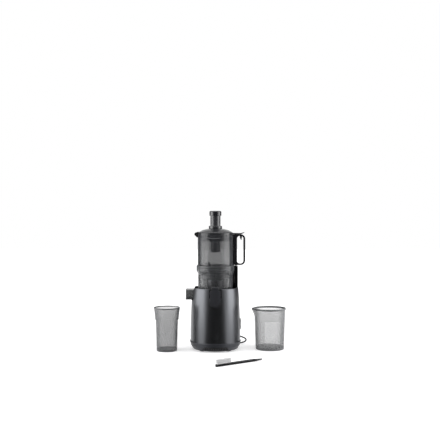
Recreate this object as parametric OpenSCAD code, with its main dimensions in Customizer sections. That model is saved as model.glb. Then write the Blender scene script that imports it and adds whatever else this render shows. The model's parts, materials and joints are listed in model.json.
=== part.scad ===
// Cold press juicer: motor base, juicing bowl, auger, hopper jug with strainer and lid, plunger,
// two cups and a cleaning brush. Millimetres, +Z up, front towards -Y, origin at the middle of the base on the floor.

/* [Base] */
// Height of the rim of the base above the floor
base_h = 215; // [212:1:225]
// Outer radius of the metal sleeve at the rim
rim_r = 80.5; // [80:0.5:84]
// Outer radius of the metal sleeve at its lower edge
sleeve_low_r = 87; // [85:0.5:90]
// Wall of the metal sleeve
sleeve_wall = 1.8; // [1.2:0.1:2.4]
// Height of the seam between the skirt and the sleeve
seam_z = 32; // [30:1:36]
// How far the bead of the skirt stands out past the sleeve
bead_out = 2; // [1:0.5:3]
// Radius of the skirt near the floor
skirt_low_r = 78; // [76:0.5:80]
// Wall of the skirt
skirt_wall = 2.6; // [2:0.1:3.2]
// Height of the rubber feet
foot_h = 4; // [3:0.5:6]
// Thickness of the bottom cover
cover_t = 3; // [2:0.5:4]
// Number of vent slots across the front of the skirt
vent_count = 15; // [5:2:17]

/* [Bowl seat and tower] */
// Depth of the seat below the rim
seat_depth = 47; // [44:1:49]
// Wall of the seat and of its channels
seat_wall = 2.5; // [2:0.1:3]
// Gap between the bowl and the wall of the seat
seat_gap = 2; // [1:0.1:2.4]
// Half width of the front notch, which is also the radius of its bottom
notch_r = 21; // [19:0.5:22]
// Half width of the side notch for the pulp duct
side_notch_half = 31; // [30:0.5:33]
// Radial thickness of the interlock tower
tower_t = 10; // [8:0.1:10]
// Drop from the bowl rim to the top of the tower
tower_drop = 4; // [3:0.5:8]

/* [Drive] */
// Teeth on the output gear
out_teeth = 72; // [72:12:72]
// Module of the second gear stage
out_module = 1.1; // [1:0.05:1.15]
// Teeth on the large wheel of the idler
idler_teeth = 60; // [60:12:60]
// Module of the first gear stage
in_module = 0.8; // [0.7:0.05:0.85]
// Teeth on each pinion
pinion_teeth = 12; // [12:1:12]
// Radius of the motor can
can_r = 31; // [28:0.5:33]
// Height of the rubber dampers under the motor
damper_h = 13; // [10:0.5:16]
// Length of the pillars that the gear case hangs from
pillar_h = 9; // [6:0.5:12]
// Radius of the drive shaft
shaft_r = 6; // [5:0.1:6.5]
// Width across the flats of the hexagon on the drive shaft
hex_af = 10; // [8:0.1:10.2]

/* [Bowl] */
// Height of the juicing bowl
bowl_h = 124; // [120:1:130]
// Outer radius of the bowl wall
bowl_r = 61; // [60:0.1:61.5]
// Wall of the bowl
bowl_wall = 2.4; // [2:0.1:2.6]
// Outer radius of the bowl rim
bowl_rim_r = 66.5; // [65:0.1:67]
// Height of the platform for the strainer above the bottom of the bowl
platform_rise = 19.2; // [17:0.1:24]
// Height of the bowl rim band
bowl_band_h = 20; // [14:1:26]
// Half width of the juice spout
spout_half = 17; // [14:0.5:18]
// Height of the juice spout
spout_h = 36; // [34:0.5:38]
// Distance from the axis to the mouth of the juice spout
spout_reach = 95; // [94:0.5:105]
// Distance from the axis to the mouth of the pulp duct
duct_reach = 103; // [95:1:110]
// Half width of the pulp duct
duct_half = 28; // [24:0.5:29]
// Height of the pulp duct
duct_h = 33; // [28:0.5:36]

/* [Auger] */
// How far the horn of the auger stands above the shoulder of the jug
horn_over = 16.5; // [12:0.5:18]
// Radius of the auger screw
auger_r = 29.8; // [27:0.1:31]
// Radius of the auger flange
auger_flange_r = 35.8; // [33:0.1:36]

/* [Hopper jug] */
// Height of the jug above its shoulder
jug_h = 108.5; // [100:0.5:115]
// Outer radius of the jug
jug_r = 62; // [61:0.1:62.2]
// Wall of the jug
jug_wall = 2.6; // [2:0.1:3]
// How far the jug sinks into the bowl rim
jug_sink = 4; // [2:0.5:5]
// Number of ribs and windows round the strainer
window_count = 8; // [6:1:10]
// Thickness of the steel screen
screen_t = 0.6; // [0.4:0.1:0.8]
// Height of the lid
lid_h = 22.5; // [20:0.5:26]
// Wall of the lid
lid_wall = 2.6; // [2:0.1:3]
// Distance from the axis to the outside of the handle
handle_reach = 104; // [100:0.5:110]
// Thickness of the outer bar of the handle
handle_bar = 6.5; // [5:0.5:9]
// Half width of the handle along Y
handle_half = 10; // [8:0.5:12]

/* [Plunger] */
// Length of the plunger
plunger_len = 145; // [135:1:160]
// Radius of the plunger body
plunger_r = 17.8; // [16:0.1:18.5]
// Radius of the plunger collar
collar_r = 23.2; // [21:0.1:25]
// Drop from the top of the plunger to the underside of its collar
collar_drop = 62.6; // [55:0.5:68]

/* [Cups] */
// Height of the juice cup
cup_h = 149; // [130:1:160]
// Radius of the juice cup rim
cup_rim_r = 45.7; // [44:0.1:48]
// Radius of the juice cup foot
cup_foot_r = 35.6; // [33:0.1:38]
// Wall of the juice cup
cup_wall = 2; // [1.6:0.1:2.6]
// Height of the pulp jug
pulp_h = 142.5; // [130:0.5:155]
// Radius of the pulp jug rim
pulp_rim_r = 57; // [56:0.1:60]
// Radius of the pulp jug foot
pulp_foot_r = 49.6; // [47:0.1:51]
// Wall of the pulp jug
pulp_wall = 2.2; // [1.8:0.1:2.8]

/* [Brush] */
// Length of the cleaning brush
brush_len = 175; // [160:1:190]
// Width of the brush handle
brush_w = 9; // [8:0.5:11]
// Rows of bristles along the head
bristle_rows = 25; // [25:1:30]
// Rows of bristles across the head
bristle_files = 12; // [12:1:13]

/* [Power lead] */
// Diameter of the power lead
lead_d = 5.4; // [5:0.1:5.5]
// Loops in the coil of the lead
lead_loops = 5.5; // [3.5:1:5.5]

/* [Hidden] */
$fn = 96;

// Overrun of every cut, the gap between pieces that move apart, and the gaps of fits
over = 1;
gap = 0.3;
run = 0.06;
fit = 0.1;

// Levels of the base
cavity_z = foot_h + cover_t;
seat_z = base_h - seat_depth;
seat_floor_t = 3;
deck_t = 3;
lip_r = 3.2;
deck_z = base_h - lip_r;
seat_r = bowl_r + seat_gap;
bowl_top = seat_z + bowl_h;
jug_z = bowl_top - jug_sink;
platform_z = seat_z + platform_rise;
strainer_drop = jug_z - platform_z - gap;
auger_h = strainer_drop + horn_over;
bead_drop = 3;
bead_z = seam_z - bead_drop;
notch_z = seat_z + 1;
side_notch_z = seat_z + 3;

// Outer radius of the sleeve at a height: it draws in faster towards the rim
sleeve_top_z = base_h - lip_r;
draw_power = 2.4;
function sleeve_r(z) =
    sleeve_low_r - (sleeve_low_r - rim_r) * pow(max(0, z - seam_z) / (sleeve_top_z - seam_z), draw_power);
sleeve_steps = 14;
function sleeve_line(inset) = [for (i = [0:sleeve_steps])
    let (z = seam_z + (sleeve_top_z - seam_z) * i / sleeve_steps) [sleeve_r(z) - inset, z]];
lip_steps = 6;
function lip_line() = [for (i = [1:lip_steps])
    let (a = 90 * i / lip_steps)
    [rim_r - lip_r * (1 - cos(a)), sleeve_top_z + lip_r * sin(a)]];

// Two-dimensional helpers
module u_shape(half, bottom, top) {
    translate([0, bottom + half]) circle(half);
    translate([-half, bottom + half]) square([2 * half, top - bottom - half]);
}
module round_rect(w, h, r) {
    translate([r, 0]) square([w - 2 * r, h]);
    translate([0, r]) square([w, h - 2 * r]);
    for (x = [r, w - r]) for (y = [r, h - r]) translate([x, y]) circle(r);
}
// Stands a drawing in X and Z upright, with its thickness between two values of Y
module upright(y0, y1) {
    translate([0, y1, 0]) rotate([90, 0, 0]) linear_extrude(y1 - y0) children();
}
// Stands a drawing in Y and Z upright, with its thickness between two values of X
module sideways(x0, x1) {
    translate([x0, 0, 0]) rotate([90, 0, 90]) linear_extrude(x1 - x0) children();
}
module ring(r_out, r_in, h) {
    difference() {
        cylinder(h = h, r = r_out);
        translate([0, 0, -over]) cylinder(h = h + 2 * over, r = r_in);
    }
}
module sector(r_in, r_out, h, a0, a1) {
    rotate([0, 0, a0]) rotate_extrude(angle = a1 - a0)
        translate([r_in, 0]) square([r_out - r_in, h]);
}
module hexagon(af) { circle(r = af / 2 / cos(30), $fn = 6); }

// The space of the two notches, cut through the sleeve and the seat
module notch_cut(grow, y_from) {
    upright(-spout_reach, -y_from) u_shape(notch_r + grow, notch_z - grow, base_h + over);
}
module side_notch_cut(grow, x_from) {
    corner = 6;
    sideways(-duct_reach, -x_from)
        translate([-side_notch_half - grow, side_notch_z - grow])
            round_rect(2 * (side_notch_half + grow), base_h + corner + over - side_notch_z + grow, corner);
}

// Base
module base_sleeve() {
    color([0.25, 0.26, 0.28]) difference() {
        rotate_extrude() polygon(concat(
            sleeve_line(0), lip_line(),
            [[rim_r - lip_r, sleeve_top_z + lip_r - sleeve_wall], [rim_r - sleeve_wall - fit, sleeve_top_z]],
            [for (i = [1:sleeve_steps]) sleeve_line(sleeve_wall)[sleeve_steps - i]]));
        notch_cut(0, 0);
        side_notch_cut(0, 0);
        switch_hole(0);
    }
}
skirt_mid_z = 16;
skirt_mid_r = sleeve_low_r - 1.5;
module base_skirt() {
    bead_r = sleeve_low_r + bead_out;
    outer = [[skirt_low_r, foot_h], [skirt_mid_r, skirt_mid_z], [bead_r - bead_round, bead_z - bead_h / 2],
        [bead_r, bead_z], [bead_r - bead_round, seam_z]];
    color([0.2, 0.22, 0.26]) difference() {
        union() {
            rotate_extrude() polygon(concat(outer,
                [for (i = [len(outer) - 1:-1:0]) outer[i] - [i == 0 ? skirt_ledge : skirt_wall, 0]]));
            for (a = screw_angles) rotate([0, 0, a]) {
                translate([screw_ring, 0, cavity_z]) cylinder(h = boss_h, r = boss_r);
                translate([screw_ring, -boss_web / 2, skirt_mid_z + fit])
                    cube([skirt_mid_r - over / 2 - screw_ring, boss_web, cavity_z + boss_h - skirt_mid_z - 2 * fit]);
            }
        }
        for (a = screw_angles) rotate([0, 0, a])
            translate([screw_ring, 0, 0]) cylinder(h = seam_z, r = screw_r + fit / 2);
        for (side = [0, 180]) rotate([0, 0, side])
            for (i = [0:vent_count - 1])
                translate([(i - (vent_count - 1) / 2) * vent_pitch - vent_w / 2, -bead_r, foot_h + vent_low])
                    cube([vent_w, bead_r - vent_depth, vent_h]);
        relief_hole = relief_neck_r + fit;
        translate([relief_x - relief_hole, 0, relief_z - relief_hole]) cube([2 * relief_hole, bead_r, 2 * relief_hole]);
    }
}
skirt_ledge = 5;
bead_round = 1;
bead_h = 6;
screw_angles = [30, 150, 210, 330];
screw_ring = 68;
screw_r = 1.5;
screw_head_r = 3;
screw_head_h = 2;
boss_r = 4.5;
boss_h = 16;
boss_web = 3;
vent_pitch = 5.9;
vent_w = 2.6;
vent_h = 9;
vent_low = 2.5;
vent_depth = 52;
module bottom_cover() {
    color([0.12, 0.12, 0.13]) difference() {
        translate([0, 0, foot_h]) cylinder(h = cover_t, r = skirt_low_r - skirt_ledge - fit);
        for (a = screw_angles) rotate([0, 0, a]) translate([screw_ring, 0, 0]) {
            cylinder(h = cavity_z + over, r = screw_r + fit / 2);
            cylinder(h = foot_h + screw_head_h, r = screw_head_r + fit);
        }
        difference() {
            for (i = [-3:3]) translate([-inlet_l / 2, i * inlet_pitch - inlet_w / 2, 0])
                cube([inlet_l, inlet_w, cavity_z + over]);
            cylinder(h = cavity_z + over, r = foot_r + gap);
        }
    }
}
inlet_l = 60;
inlet_w = 3;
inlet_pitch = 7;
foot_r = 9;
foot_ring = 62;
module rubber_feet() {
    color([0.06, 0.06, 0.06]) {
        for (a = [45:90:315]) rotate([0, 0, a]) translate([foot_ring, 0, 0]) cylinder(h = foot_h, r = foot_r);
        cylinder(h = foot_h, r = foot_r);
    }
}
module bottom_screws() {
    color([0.7, 0.7, 0.72]) for (a = screw_angles) rotate([0, 0, a]) translate([screw_ring, 0, foot_h]) {
        cylinder(h = screw_head_h, r = screw_head_r);
        cylinder(h = cover_t + boss_h - over, r = screw_r);
    }
}
module sleeve_inside() {
    rotate_extrude() polygon(concat([[0, seam_z]], sleeve_line(sleeve_wall + gap), [[0, sleeve_top_z]]));
}
module bowl_seat() {
    color([0.08, 0.08, 0.09]) difference() {
        union() {
            translate([0, 0, seat_z - seat_floor_t]) cylinder(h = seat_floor_t, r = seat_r + seat_wall);
            translate([0, 0, seat_z - seat_floor_t]) ring(seat_r + seat_wall, seat_r, deck_z - seat_z + seat_floor_t);
            intersection() {
                union() {
                    translate([0, 0, deck_z - deck_t]) ring(rim_r, seat_r, deck_t);
                    notch_cut(seat_wall, seat_r);
                    side_notch_cut(seat_wall, seat_r);
                }
                difference() {
                    sleeve_inside();
                    translate([0, 0, seam_z]) cylinder(h = base_h, r = seat_r);
                }
            }
        }
        notch_cut(0, 0);
        side_notch_cut(0, 0);
        translate([0, 0, seat_z - seat_floor_t - over]) cylinder(h = seat_floor_t + 2 * over, r = seal_r);
    }
}
seal_r = 12;

// Interlock tower
tower_r = rim_r - sleeve_wall - gap;
tower_top = bowl_top - tower_drop;
tower_step = 21;
tower_step_z = tower_top - tower_step;
tower_a0 = -7;
tower_a1 = 45;
tower_a2 = 39.5;
pin_r = 1.9;
pin_hole_r = pin_r + 0.5;
pin_len = 18;
pin_insets = [3.4, 5];
pin_angles = [0, 16];
pin_spots = [for (i = [0, 1]) [tower_r - pin_insets[i], pin_angles[i]]];
module at_pins() {
    for (p = pin_spots) rotate([0, 0, p[1]]) translate([p[0], 0, 0]) children();
}
module interlock_tower() {
    color([0.1, 0.1, 0.11]) difference() {
        union() {
            translate([0, 0, deck_z]) sector(tower_r - tower_t, rim_r - lip_r - fit, lip_r + fit + over, tower_a0, tower_a1);
            translate([0, 0, base_h + fit])
                sector(tower_r - tower_t, tower_r, tower_step_z - base_h - fit, tower_a0, tower_a1);
            translate([0, 0, tower_step_z - over])
                sector(tower_r - tower_t, tower_r, tower_top - tower_step_z + over, tower_a0, tower_a2);
        }
        translate([0, 0, foot_z - pin_len - over]) at_pins() cylinder(h = pin_len + over, r = pin_hole_r);
        translate([0, 0, sensor_z - fit])
            sector(tower_r - tower_t + sensor_inset - fit, tower_r - sensor_inset + fit, sensor_h + 2 * fit,
                sensor_a0, sensor_a1);
    }
}
module tower_guide() {
    color([0.6, 0.62, 0.62]) translate([0, 0, tower_step_z])
        sector(tower_r - tower_t, tower_r - tower_t / 2, tower_top - tower_step_z, tower_a2 + fit, tower_a1);
}
sensor_h = 30;
sensor_drop = 45;
sensor_z = tower_step_z - sensor_drop;
sensor_inset = 2.4;
sensor_a0 = 5;
sensor_a1 = 30;
module interlock_sensor() {
    color([0.1, 0.4, 0.2]) translate([0, 0, sensor_z])
        sector(tower_r - tower_t + sensor_inset, tower_r - sensor_inset, sensor_h, sensor_a0 + fit, sensor_a1 - fit);
}

// Rocker switch on the right side of the base
switch_z = 88;
switch_h = 30;
switch_w = 18;
switch_depth = 24;
bezel_t = 1.6;
bezel_rim = 3;
switch_x = sleeve_r(switch_z);
rocker_travel = 10;
module switch_hole(shrink) {
    translate([switch_x - switch_depth, -switch_w / 2 + shrink, switch_z - switch_h / 2 + shrink])
        cube([2 * switch_depth, switch_w - 2 * shrink, switch_h - 2 * shrink]);
}
module switch_bezel() {
    color([0.07, 0.07, 0.08]) difference() {
        union() {
            intersection() {
                switch_hole(fit);
                translate([switch_x - switch_depth + over, -switch_w, 0])
                    cube([switch_depth - over + bezel_t, 2 * switch_w, base_h]);
            }
            difference() {
                translate([switch_x - bezel_t, -switch_w / 2 - bezel_rim, switch_z - switch_h / 2 - bezel_rim])
                    cube([2 * bezel_t, switch_w + 2 * bezel_rim, switch_h + 2 * bezel_rim]);
                rotate_extrude() polygon(concat([[0, seam_z]], sleeve_line(-fit), [[0, sleeve_top_z]]));
            }
        }
        translate([switch_x - switch_depth + 2 * over, -switch_w / 2 + bezel_t, switch_z - switch_h / 2 + bezel_t])
            cube([2 * switch_depth, switch_w - 2 * bezel_t, switch_h - 2 * bezel_t]);
        rocker_axis() cylinder(h = switch_w + 2 * bezel_rim, r = rocker_pin_r + run, center = true);
    }
}
rocker_pin_r = 1.5;
rocker_pin_out = 0.8;
rocker_r = 17;
rocker_half = switch_w / 2 - bezel_t - gap;
rocker_x = switch_x - 5;
module rocker_axis() { translate([rocker_x, 0, switch_z]) rotate([90, 0, 0]) children(); }
module rocker_switch() {
    half_h = switch_h / 2 - bezel_t - 1.2;
    color([0.05, 0.05, 0.06]) {
        rocker_axis() cylinder(h = 2 * (rocker_half + gap + rocker_pin_out), r = rocker_pin_r, center = true);
        upright(-rocker_half, rocker_half) polygon([
            [rocker_x - 4, switch_z - 3], [rocker_x - 4, switch_z + 3], [rocker_x + 2, switch_z + half_h],
            [rocker_x + 7.5, switch_z + half_h - 0.6], [rocker_x + 6, switch_z],
            [rocker_x + 7.5, switch_z - half_h + 0.6], [rocker_x + 2, switch_z - half_h]]);
    }
}

// Gear train: the pinion on the motor turns the idler, and the idler's pinion turns the output gear
pressure = 20;
backlash_share = 0.06;
addendum_share = 0.85;
dedendum_share = 1.2;
flank_steps = 4;
function inv_angle(rb, rho) = let (a = acos(min(1, rb / rho))) tan(a) * 180 / PI - a;
// One tooth as radius and angle, from the middle of one gap to the next
function gear_tooth(teeth, mod) =
    let (
        r = teeth * mod / 2,
        rb = r * cos(pressure),
        r_tip = r + addendum_share * mod,
        r_root = r - dedendum_share * mod,
        low = max(rb, r_root),
        half = 90 / teeth * (1 - backlash_share) + inv_angle(rb, r),
        flank = [for (i = [0:flank_steps]) let (rho = low + (r_tip - low) * i / flank_steps)
            [rho, half - inv_angle(rb, rho)]],
        foot = low > r_root ? [[r_root, flank[0][1]]] : []
    )
    concat(
        [[r_root, -180 / teeth]],
        [for (p = concat(foot, flank)) [p[0], -p[1]]],
        [for (i = [flank_steps:-1:0]) flank[i]],
        foot
    );
module gear_2d(teeth, mod) {
    tooth = gear_tooth(teeth, mod);
    polygon([for (t = [0:teeth - 1]) for (p = tooth)
        let (a = p[1] + 360 / teeth * t) [p[0] * cos(a), p[0] * sin(a)]]);
}
out_r = out_teeth * out_module / 2;
idler_dir = 150;
motor_dir = -18;
idler_gap = (out_teeth + pinion_teeth) * out_module / 2;
motor_gap = (idler_teeth + pinion_teeth) * in_module / 2;
idler_x = idler_gap * cos(idler_dir);
idler_y = idler_gap * sin(idler_dir);
motor_x = idler_x + motor_gap * cos(motor_dir);
motor_y = idler_y + motor_gap * sin(motor_dir);
idler_r = idler_teeth * in_module / 2;
end_cap_t = 5;
can_z = cavity_z + damper_h;
case_floor = 3;
case_wall = 3;
case_h = 42;
case_cover_t = 3;
case_room = 2.4;
case_cover_z = seat_z - seat_floor_t - pillar_h - case_cover_t;
case_z = case_cover_z - case_h;
can_h = case_z - end_cap_t - can_z;
idler_z = case_z + 14;
idler_t = 8;
out_z = idler_z + idler_t + 6;
out_t = 10;
pinion_over = 2;
axle_r = 3;
boss_wall = 4;
module case_2d(grow) {
    circle(out_r + out_module + case_room + grow);
    translate([idler_x, idler_y]) circle(idler_r + in_module + case_room + grow);
    rotate(idler_dir) translate([0, -idler_r - grow]) square([idler_gap, 2 * (idler_r + grow)]);
}
module gear_case() {
    color([0.55, 0.56, 0.58]) difference() {
        union() {
            difference() {
                translate([0, 0, case_z]) linear_extrude(case_h) case_2d(case_wall);
                translate([0, 0, case_z + case_floor]) linear_extrude(case_h) case_2d(0);
            }
            translate([0, 0, case_z]) cylinder(h = boss_h_out, r = shaft_r + boss_wall);
            for (a = case_angles) rotate([0, 0, a]) translate([case_ring, 0, case_z])
                cylinder(h = case_h, r = case_boss_r);
        }
        translate([0, 0, case_z + case_floor - over]) cylinder(h = case_h, r = shaft_r + run);
        translate([idler_x, idler_y, case_z - over]) cylinder(h = case_floor + 2 * over, r = axle_r + fit / 2);
        translate([motor_x, motor_y, case_z - over])
            cylinder(h = case_floor + 2 * over, r = pinion_teeth * in_module / 2 + 2 * over);
        for (a = case_angles) rotate([0, 0, a]) translate([case_ring, 0, case_z + case_h - case_screw_l])
            cylinder(h = case_h, r = screw_r + fit / 2);
    }
}
boss_h_out = 20;
case_ring = out_r + out_module + case_room + case_wall;
case_angles = [0, 90, 255];
case_boss_r = 4;
case_screw_l = 14;
pillar_r = 5;
module gear_case_cover() {
    color([0.5, 0.51, 0.53]) difference() {
        union() {
            translate([0, 0, case_cover_z]) linear_extrude(case_cover_t) case_2d(case_wall);
            for (a = case_angles) rotate([0, 0, a]) translate([case_ring, 0, case_cover_z])
                cylinder(h = case_cover_t, r = case_boss_r);
            for (a = pillar_angles) rotate([0, 0, a]) translate([pillar_ring, 0, case_cover_z])
                cylinder(h = seat_z - seat_floor_t - case_cover_z, r = pillar_r);
        }
        translate([0, 0, case_cover_z - over]) cylinder(h = case_cover_t + 2 * over, r = bearing_r);
        translate([idler_x, idler_y, case_cover_z - over])
            cylinder(h = case_cover_t + 2 * over, r = axle_r + fit / 2);
        for (a = case_angles) rotate([0, 0, a]) translate([case_ring, 0, case_cover_z - over])
            cylinder(h = case_cover_t + 2 * over, r = screw_r + fit / 2);
    }
}
pillar_angles = [45, 215, 315];
pillar_ring = 32;
bearing_r = 13;
module case_screws() {
    color([0.72, 0.72, 0.74]) for (a = case_angles) rotate([0, 0, a])
        translate([case_ring, 0, case_cover_z + case_cover_t]) {
            cylinder(h = screw_head_h, r = screw_head_r);
            translate([0, 0, -case_cover_t - case_screw_l + over]) cylinder(h = case_screw_l + case_cover_t, r = screw_r);
        }
}
module output_bearing() {
    color([0.75, 0.75, 0.77]) translate([0, 0, case_cover_z - case_cover_t])
        ring(bearing_r - fit / 2, shaft_r + run, seat_z - seat_floor_t - case_cover_z + case_cover_t - over);
}
module shaft_seal() {
    color([0.05, 0.05, 0.05]) translate([0, 0, seat_z - seat_floor_t])
        ring(seal_r - fit / 2, shaft_r + run, seat_floor_t);
}
gear_clear = 0.3;
module output_gear() {
    color([0.85, 0.83, 0.75]) translate([0, 0, out_z]) difference() {
        linear_extrude(out_t) gear_2d(out_teeth, out_module);
        translate([0, 0, -over]) cylinder(h = out_t + 2 * over, r = shaft_r);
        for (a = [0:60:300]) rotate([0, 0, a + 30]) translate([out_r * 0.62, 0, -over])
            cylinder(h = out_t + 2 * over, r = out_r * 0.17);
    }
}
tip_over = 11.8;
journal_h = 7.2;
shaft_low_z = case_z + case_floor - over;
shaft_tip_z = platform_z + tip_over;
hex_low_z = platform_z - journal_h - over;
module drive_shaft() {
    color([0.8, 0.8, 0.82]) {
        translate([0, 0, shaft_low_z]) cylinder(h = hex_low_z - shaft_low_z, r = shaft_r);
        translate([0, 0, hex_low_z - over]) linear_extrude(shaft_tip_z - hex_low_z + over) hexagon(hex_af);
    }
}
module idler_gear() {
    color([0.8, 0.78, 0.7]) translate([idler_x, idler_y, 0]) difference() {
        union() {
            translate([0, 0, idler_z]) linear_extrude(idler_t) gear_2d(idler_teeth, in_module);
            translate([0, 0, idler_z]) rotate([0, 0, 180 / pinion_teeth])
                linear_extrude(out_z + out_t + pinion_over - idler_z) gear_2d(pinion_teeth, out_module);
        }
        translate([0, 0, idler_z - over]) cylinder(h = case_h, r = axle_r + run);
    }
}
module idler_axle() {
    color([0.7, 0.7, 0.72]) translate([idler_x, idler_y, case_z])
        cylinder(h = case_h + case_cover_t, r = axle_r);
}
rotor_shaft_r = 3;
core_r = can_r - 7;
can_wall = 2;
core_h = can_h - 26;
fan_z = cavity_z + 3;
fan_h = 7;
fan_r = 22;
fan_blades = 9;
module motor_can() {
    color([0.45, 0.46, 0.48]) translate([motor_x, motor_y, can_z]) difference() {
        cylinder(h = can_h, r = can_r);
        translate([0, 0, can_wall]) cylinder(h = can_h, r = can_r - can_wall);
        translate([0, 0, -over]) cylinder(h = can_h, r = rotor_shaft_r + run);
        for (a = [0:60:300]) rotate([0, 0, a]) translate([core_r * 0.6, 0, -over])
            cylinder(h = can_wall + 2 * over, r = rotor_shaft_r);
    }
}
module motor_end_cap() {
    color([0.6, 0.6, 0.62]) translate([motor_x, motor_y, can_z + can_h]) difference() {
        cylinder(h = end_cap_t, r = can_r);
        translate([0, 0, -over]) cylinder(h = end_cap_t + 2 * over, r = rotor_shaft_r + run);
    }
}
module motor_dampers() {
    damper_ring = can_r - damper_r;
    color([0.07, 0.07, 0.07]) translate([motor_x, motor_y, cavity_z]) for (a = [20:120:260]) rotate([0, 0, a])
        translate([damper_ring, 0, 0]) cylinder(h = damper_h, r = damper_r);
}
damper_r = 4;
module motor_rotor() {
    color([0.6, 0.45, 0.3]) translate([motor_x, motor_y, 0]) {
        translate([0, 0, fan_z]) cylinder(h = case_z + case_floor + 2 * over - fan_z, r = rotor_shaft_r);
        translate([0, 0, can_z + (can_h - core_h) / 2]) cylinder(h = core_h, r = core_r);
        translate([0, 0, idler_z - over]) rotate([0, 0, motor_dir + 180 - 180 / pinion_teeth])
            linear_extrude(idler_t + pinion_over) gear_2d(pinion_teeth, in_module);
        translate([0, 0, case_z + case_floor + over]) cylinder(h = idler_z - case_z - case_floor - over,
            r = rotor_shaft_r);
    }
}
module cooling_fan() {
    color([0.15, 0.15, 0.16]) translate([motor_x, motor_y, fan_z]) difference() {
        union() {
            cylinder(h = fan_h, r = rotor_shaft_r + boss_wall);
            cylinder(h = blade_t, r = fan_r);
            for (a = [0:fan_blades - 1]) rotate([0, 0, 360 * a / fan_blades])
                translate([rotor_shaft_r + over, -blade_t / 2, 0]) cube([fan_r - rotor_shaft_r - 2 * over, blade_t, fan_h]);
        }
        translate([0, 0, -over]) cylinder(h = fan_h + 2 * over, r = rotor_shaft_r);
    }
}
blade_t = 1.5;
board_w = 60;
board_h = 55;
board_t = 1.6;
board_x = 2;
board_y = 56;
board_z = cavity_z;
part_d = 12;
module control_board() {
    color([0.1, 0.35, 0.18]) translate([board_x, board_y, board_z]) {
        translate([-board_w / 2, 0, 0]) cube([board_w, board_t, board_h]);
        for (x = [-1, 0, 1]) translate([x * board_w * 0.3, board_t - fit, board_h * 0.3]) rotate([-90, 0, 0])
            cylinder(h = part_d, d = part_d);
        translate([-board_w * 0.3, board_t - fit, board_h * 0.6]) cube([board_w * 0.35, part_d, part_d]);
    }
}

// Power lead: relief at the back of the skirt, free stretch, coil, plug
relief_x = 30;
relief_z = 26;
relief_neck_r = 5;
relief_tip_r = lead_d / 2 + 1.2;
relief_y = 73;
relief_l = 31;
lead_y = relief_y + relief_l;
module strain_relief() {
    color([0.05, 0.05, 0.05]) translate([relief_x, relief_y, relief_z]) rotate([-90, 0, 0]) {
        cylinder(h = relief_l / 2, r = relief_neck_r);
        translate([0, 0, relief_l / 2]) cylinder(h = relief_l / 2, r1 = relief_neck_r, r2 = relief_tip_r);
        cylinder(h = relief_flange_t, r = relief_neck_r + relief_flange);
    }
}
relief_flange_t = 2;
relief_flange = 3;
tie_t = 1;
coil_x = -10;
coil_y = 153;
coil_pitch = lead_d + 0.6;
coil_min_r = 22.5;
coil_max_r = coil_min_r + coil_pitch * lead_loops / 2;
coil_low = lead_d / 2 + tie_t;
coil_lead = 6;
lead_route = [
    [30, 104, 26], [30, 110, 26], [32.5, 119, 26], [38.5, 127, 25.5], [47, 131, 25], [58, 132, 24.5],
    [72, 131, 23.5], [86, 129.5, 21.5], [98, 126, 18.5], [107, 118, 16], [111.5, 107, 13], [110, 95, 10],
    [103, 86, 7.3], [92, 81.5, 5], [78, 82, 3.6], [64, 86, 2.9], [50, 91, 2.9], [36, 96.5, 2.9],
    [22, 102.2, 2.9], [11, 108.6, 3.2]
];
lead_end = [[coil_x + coil_lead + lead_d, coil_y - coil_max_r, coil_low],
    [coil_x + coil_lead, coil_y - coil_max_r, coil_low]];

// A tube of n sides swept along points, with flat ends square to the path
function unit(v) = v / norm(v);
function turned(path, i) = let (n = len(path)) unit(path[min(i + 1, n - 1)] - path[max(i - 1, 0)]);
module tube(path, r, sides, start, end) {
    rings = len(path);
    points = [for (i = [0:rings - 1])
        let (
            t = i == 0 ? start : i == rings - 1 ? end : turned(path, i),
            s = unit(cross([0, 0, 1], t)),
            u = cross(t, s)
        )
        for (k = [0:sides - 1]) let (a = 360 * (k + 0.5) / sides) path[i] + r * (cos(a) * s + sin(a) * u)];
    faces = concat(
        [[for (k = [0:sides - 1]) k]],
        [[for (k = [0:sides - 1]) rings * sides - 1 - k]],
        [for (i = [0:rings - 2]) for (k = [0:sides - 1]) let (m = (k + 1) % sides)
            each [[i * sides + k, (i + 1) * sides + k, (i + 1) * sides + m],
                [i * sides + k, (i + 1) * sides + m, i * sides + m]]]);
    polyhedron(points, faces, convexity = 10);
}
module cord() {
    color([0.04, 0.04, 0.04]) tube(concat(lead_route, lead_end), lead_d / 2, 8, [0, 1, 0], [-1, 0, 0]);
}
coil_rings = 24;
coil_steps = lead_loops * coil_rings;
// Radius falls at a steady rate to the middle loop and grows again; the lead climbs a layer in the half turn there
function coil_spot(i) =
    let (
        t = i / coil_rings,
        mid = lead_loops / 2,
        a = -90 - 360 * t,
        r = coil_min_r + coil_pitch * abs(t - mid),
        climb = min(1, max(0, (t - mid) * 2 + 0.5))
    )
    [coil_x + r * cos(a), coil_y + r * sin(a), coil_low + coil_pitch * climb];
coil_points = [for (i = [0:coil_steps]) coil_spot(i)];
coil_gap = min([for (i = [0:coil_steps]) for (j = [i + coil_rings / 2:1:coil_steps])
    norm(coil_points[i] - coil_points[j])]) - lead_d;
echo("least gap between loops of the lead", coil_gap);
coil_high = coil_low + coil_pitch;
plug_x = coil_x + coil_lead;
plug_y = coil_y + coil_max_r;
module cord_coil() {
    path = concat([[coil_x + coil_lead, coil_y - coil_max_r, coil_low]], coil_points, [[plug_x, plug_y, coil_high]]);
    color([0.04, 0.04, 0.04]) tube(path, lead_d / 2, 6, [-1, 0, 0], [1, 0, 0]);
}
tie_w = 8;
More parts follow.
